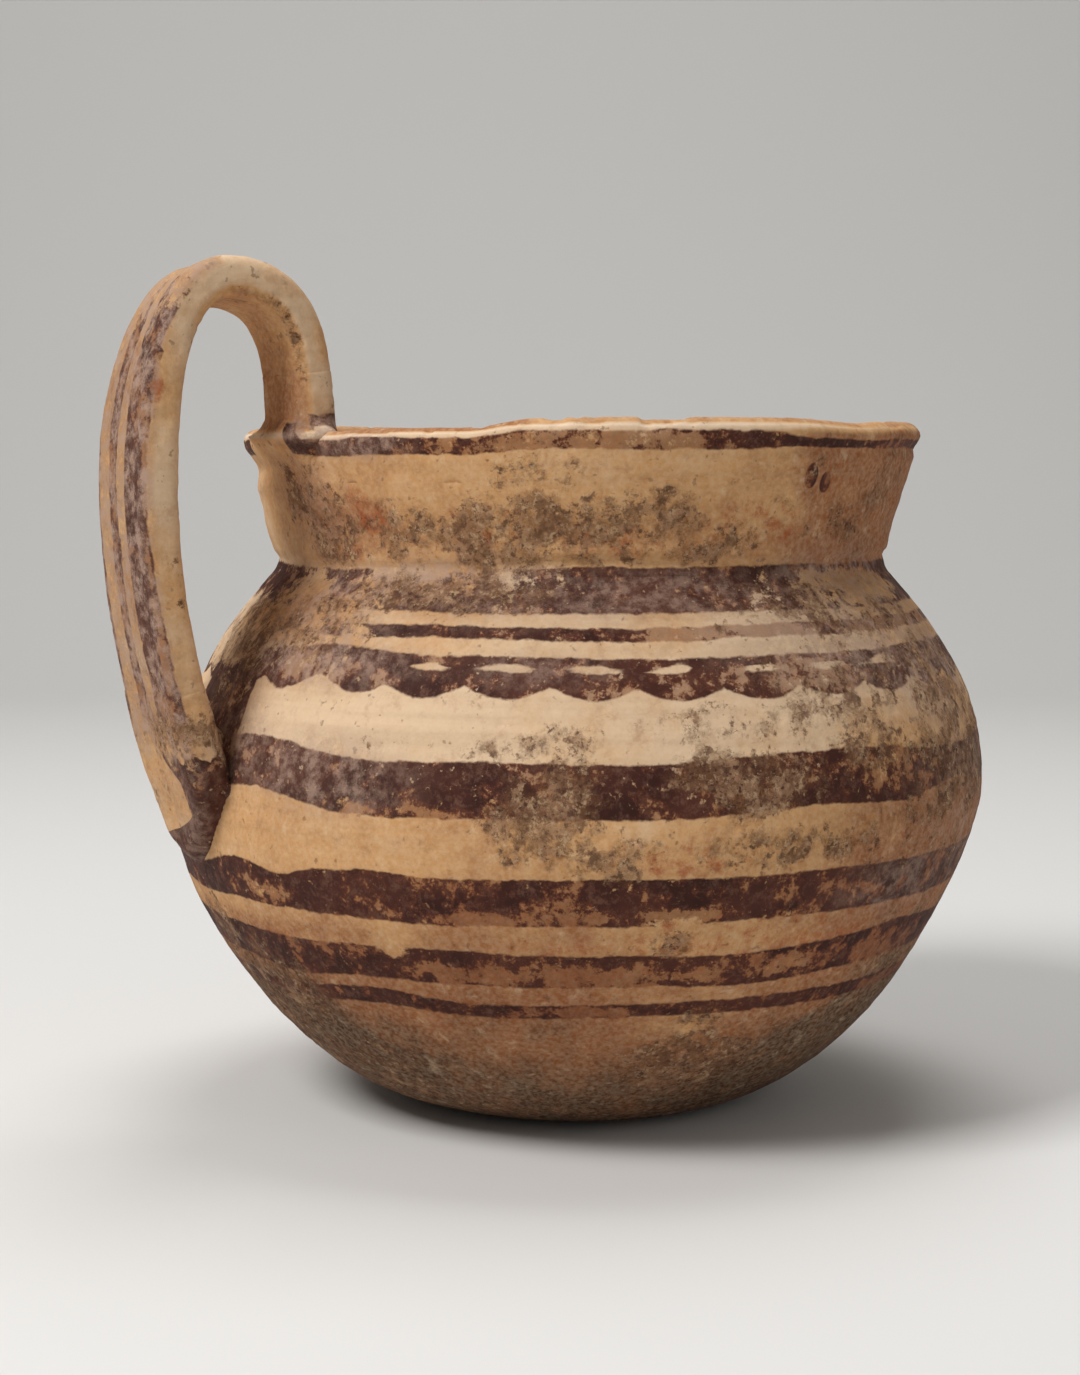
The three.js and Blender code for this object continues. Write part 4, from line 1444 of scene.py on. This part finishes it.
# %% Film
# On the handle's root the same veil also lays a painted highlight.
veil, given, ends = new_group("lilac_film", ["Place", "Amount"], ["Mask", "Colour"])
place = given["Place"]
threads = noise(veil, place, 300, 8, 0.8)
mask = math_node(veil, "MULTIPLY", given["Amount"], ramp(veil, threads, 0.38, 0.62, 0.16, 0.9))
veil.links.new(mask, ends["Mask"])
tint = ramp(veil, noise(veil, place, 300, 5, 0.7), 0.36, 0.64)
tint = blend(veil, tint, srgb(118, 90, 78), srgb(174, 144, 126))
veil.links.new(tint, ends["Colour"])
print(len(veil.nodes), "nodes make the film")

# %% [markdown]
# The crust is soil that set hard: crumbs of several sizes, root marks and dark
# dots. Its amount comes from the blobs above. The noise is added to the amount
# before the edge is drawn, so a weak patch gives scattered crumbs and a strong
# one gives a closed crust.

# %% Crust
crust, given, ends = new_group("burial_crust", ["Place", "Amount"], ["Mask", "Colour", "Height"])
place, amount = given["Place"], given["Amount"]
crumbs = noise(crust, place, 260, 9, 0.74)
bits = noise(crust, place, 700, 4, 0.65)
wander = noise(crust, place, 150, 5, 0.65)
warped = math_node(crust, "MULTIPLY_ADD", bits, 0.35, crumbs)
total = math_node(crust, "MULTIPLY_ADD", warped, 4.4, amount)
mask = ramp(crust, total, 3.42, 3.86, 0, 0.84)
mask = math_node(crust, "MULTIPLY", mask, ramp(crust, amount, 0.02, 0.2))
grains = add(crust, "ShaderNodeTexVoronoi", {"Vector": place, "Scale": 620.0}).outputs["Distance"]
line = math_node(crust, "ABSOLUTE", math_node(crust, "SUBTRACT", wander, 0.5))
roots = math_node(crust, "MULTIPLY", ramp(crust, line, 0.014, 0.002), ramp(crust, amount, 0.2, 0.7))
roots = math_node(crust, "MULTIPLY", roots, ramp(crust, bits, 0.42, 0.54, 0, 0.8))
dots = math_node(crust, "MULTIPLY", ramp(crust, bits, 0.55, 0.64), ramp(crust, amount, 0.05, 0.5))
marks = math_node(crust, "MAXIMUM", roots, dots)
flecks = noise(crust, place, 430, 6, 0.75)
soil = math_node(crust, "MULTIPLY_ADD", wander, 0.5, amount)
soil = math_node(crust, "MULTIPLY_ADD", flecks, 2.4, soil)
soil = ramp(crust, soil, 1.72, 2.5, 0, 0.7)
CRUST_TONES = [
    (wander, 0.38, 0.62, 1, (152, 116, 88)),
    (flecks, 0.53, 0.62, 0.8, (186, 156, 122)),
    (flecks, 0.48, 0.4, 0.75, (78, 52, 38)),
    (grains, 0.4, 0.1, 0.4, (196, 164, 128)),
]
tone = tinted(crust, srgb(108, 74, 52), CRUST_TONES)
earth = blend(crust, ramp(crust, flecks, 0.42, 0.6), srgb(136, 94, 60), srgb(86, 54, 36))
tone = blend(crust, ramp(crust, mask, 0.1, 0.6), earth, tone)
tone = blend(crust, marks, tone, srgb(76, 50, 38))
veiled = math_node(crust, "MAXIMUM", mask, math_node(crust, "MULTIPLY", marks, 0.6))
veiled = math_node(crust, "MAXIMUM", veiled, soil)
crust.links.new(veiled, ends["Mask"])
crust.links.new(tone, ends["Colour"])
height = math_node(crust, "SUBTRACT", math_node(crust, "MULTIPLY", mask, crumbs), marks)
height = math_node(crust, "SUBTRACT", height, math_node(crust, "MULTIPLY", mask, grains))
crust.links.new(height, ends["Height"])
print(len(crust.nodes), "nodes make the crust")


# %% [markdown]
# The layers are laid over each other in the order in which the pot got them:
# clay, paint, film, crust. Each reads its amounts from the mesh's attributes.

# %% The material
def pot_material(name):
    """Clay under paint, film and crust, driven by the piece's own attributes."""
    material = bpy.data.materials.new(name)
    material.use_nodes = True
    tree = material.node_tree
    surface = tree.nodes["Principled BSDF"]
    place = add(tree, "ShaderNodeTexCoord").outputs["Object"]

    def layer(group, **values):
        node = add(tree, "ShaderNodeGroup", {}, node_tree=group)
        tree.links.new(place, node.inputs["Place"])
        for socket, attribute in values.items():
            value = add(tree, "ShaderNodeAttribute", attribute_name=attribute)
            tree.links.new(value.outputs["Fac"], node.inputs[socket.replace("_", " ")])
        return node.outputs

    slip = layer(clay, Brown="brown_and_painted_light", Red="red")
    coat = layer(paint, Inside_mm="paint_mm", Thin="thin", Lost="lost")
    film_and_highlight = layer(veil, Amount="film_and_highlight")
    dirt = layer(crust, Amount="crust")
    colour = slip["Colour"]
    for over in (coat, film_and_highlight, dirt):
        colour = blend(tree, over["Mask"], colour, over["Colour"])
    tree.links.new(colour, surface.inputs["Base Color"])
    tree.links.new(ramp(tree, coat["Mask"], 0, 1, 0.88, 0.72), surface.inputs["Roughness"])
    surface.inputs["Specular IOR Level"].default_value = 0.15
    height = math_node(tree, "ADD", slip["Height"], dirt["Height"])
    height = math_node(tree, "MULTIPLY_ADD", coat["Mask"], 0.3, height)
    relief = add(tree, "ShaderNodeBump", {"Height": height, "Strength": 0.4, "Distance": 0.0004})
    tree.links.new(relief.outputs["Normal"], surface.inputs["Normal"])
    return material


fired_clay = pot_material("fired_clay")
for node, piece in pieces.items():
    piece.data.materials.append(fired_clay)
    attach(piece, "root")
    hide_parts(node)
print(len(pieces), "pieces have their clay and their slots")

# %% [markdown]
# ## Floor, camera and light
#
# The jug stands on plain pale paper that curves up behind it. A flat floor
# would end in a hard line behind the pot.

# %% Paper
CAMERA_TURN = math.radians(32)
PAPER_HALF_WIDTH, PAPER_FRONT, PAPER_TOP = 4.0, -2.5, 3.2
BEND_START, BEND_RADIUS = 0.9, 0.6
PAPER_GAP = 0.0004
right = Vector((math.cos(CAMERA_TURN), -math.sin(CAMERA_TURN), 0))
away = Vector((math.sin(CAMERA_TURN), math.cos(CAMERA_TURN), 0))
up = Vector((0, 0, 1))


def seen_from_camera(to_right, to_back, to_top):
    """A place in metres: so far to the right, to the back and up, as the camera sees."""
    return right * to_right + away * to_back + up * to_top


bend = np.linspace(0, math.pi / 2, 24)
profile = [(PAPER_FRONT, 0.0), (BEND_START, 0.0)]
profile += [
    (BEND_START + BEND_RADIUS * math.sin(a), BEND_RADIUS - BEND_RADIUS * math.cos(a))
    for a in bend
]
profile += [(BEND_START + BEND_RADIUS, PAPER_TOP)]
sides = (-PAPER_HALF_WIDTH, PAPER_HALF_WIDTH)
corners = [seen_from_camera(x, y, z - PAPER_GAP) for y, z in profile for x in sides]
strips = [(2 * i, 2 * i + 1, 2 * i + 3, 2 * i + 2) for i in range(len(profile) - 1)]
paper_mesh = bpy.data.meshes.new("paper")
paper_mesh.from_pydata(corners, [], strips)
paper_mesh.shade_smooth()
paper = bpy.data.objects.new("paper", paper_mesh)
bpy.context.scene.collection.objects.link(paper)
paper_look = bpy.data.materials.new("pale_paper")
paper_look.use_nodes = True
paper_surface = paper_look.node_tree.nodes["Principled BSDF"]
paper_surface.inputs["Base Color"].default_value = (0.76, 0.75, 0.73, 1)
paper_surface.inputs["Roughness"].default_value = 0.9
paper_mesh.materials.append(paper_look)
paper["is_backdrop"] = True
print("the paper has", len(strips), "strips")

# %% [markdown]
# The camera is where the photographer's was: a little below the rim, with the
# handle turned about thirty degrees towards it. Its focal length, distance and
# height were fitted to the rim, the bands and the outline in the photo. It is
# pitched and turned to bring the horizon and the pot's axis to their places.

# %% Camera
IMAGE_WIDTH, IMAGE_HEIGHT = 1080, 1375
FOCAL_PIXELS = 2500
HORIZON_ROW = 465
AXIS_COLUMN = 570.4
CAMERA_DISTANCE, CAMERA_HEIGHT = 0.5295, 0.1323
camera_data = bpy.data.cameras.new("camera")
camera_data.lens = FOCAL_PIXELS / IMAGE_HEIGHT * camera_data.sensor_width
camera = bpy.data.objects.new("camera", camera_data)
camera.location = seen_from_camera(0, -CAMERA_DISTANCE, CAMERA_HEIGHT)
pitch = math.atan((IMAGE_HEIGHT / 2 - HORIZON_ROW) / FOCAL_PIXELS)
yaw = math.atan((AXIS_COLUMN - IMAGE_WIDTH / 2) / FOCAL_PIXELS)
camera.rotation_euler = (math.pi / 2 - pitch, 0, yaw - CAMERA_TURN)
bpy.context.scene.collection.objects.link(camera)
bpy.context.scene.camera = camera
print("the camera's lens is", round(camera_data.lens, 1), "mm")

# %% [markdown]
# A museum lights a matt pot softly, so that its marks show and nothing glares.
# Here a large soft lamp stands at the upper left, a larger one hangs above and
# a weak one stands at the right. Each has its place to the right, back and top
# in metres, its size in metres and its power in watts.

# %% Light
LAMP_AIM = (0, 0, 0.08)
LAMPS = [
    ("key", (-0.75, -0.65, 1.15), 0.5, 15.5),
    ("top", (0.1, 0.3, 1.3), 0.7, 7.0),
    ("fill", (1.1, -0.8, 0.6), 0.9, 2.0),
]
for name, place, size, power in LAMPS:
    lamp_data = bpy.data.lights.new(name, "AREA")
    lamp_data.size = size
    lamp_data.energy = power
    lamp = bpy.data.objects.new(name, lamp_data)
    lamp.location = seen_from_camera(*place)
    aim = Vector(LAMP_AIM) - lamp.location
    lamp.rotation_euler = aim.to_track_quat("-Z", "Y").to_euler()
    bpy.context.scene.collection.objects.link(lamp)
    print("the", name, "lamp stands", round(aim.length, 2), "m from the jug")

studio = bpy.data.worlds.new("studio")
studio.use_nodes = True
sky = studio.node_tree.nodes["Background"]
sky.inputs["Color"].default_value = (1, 0.99, 0.97, 1)
sky.inputs["Strength"].default_value = 0.18
bpy.context.scene.world = studio
bpy.context.scene.view_settings.view_transform = "Standard"

# %% [markdown]
# ## Sizes
#
# The box of everything that renders, the paper left out, is measured at the end.

# %% Sizes, and the end
low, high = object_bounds()
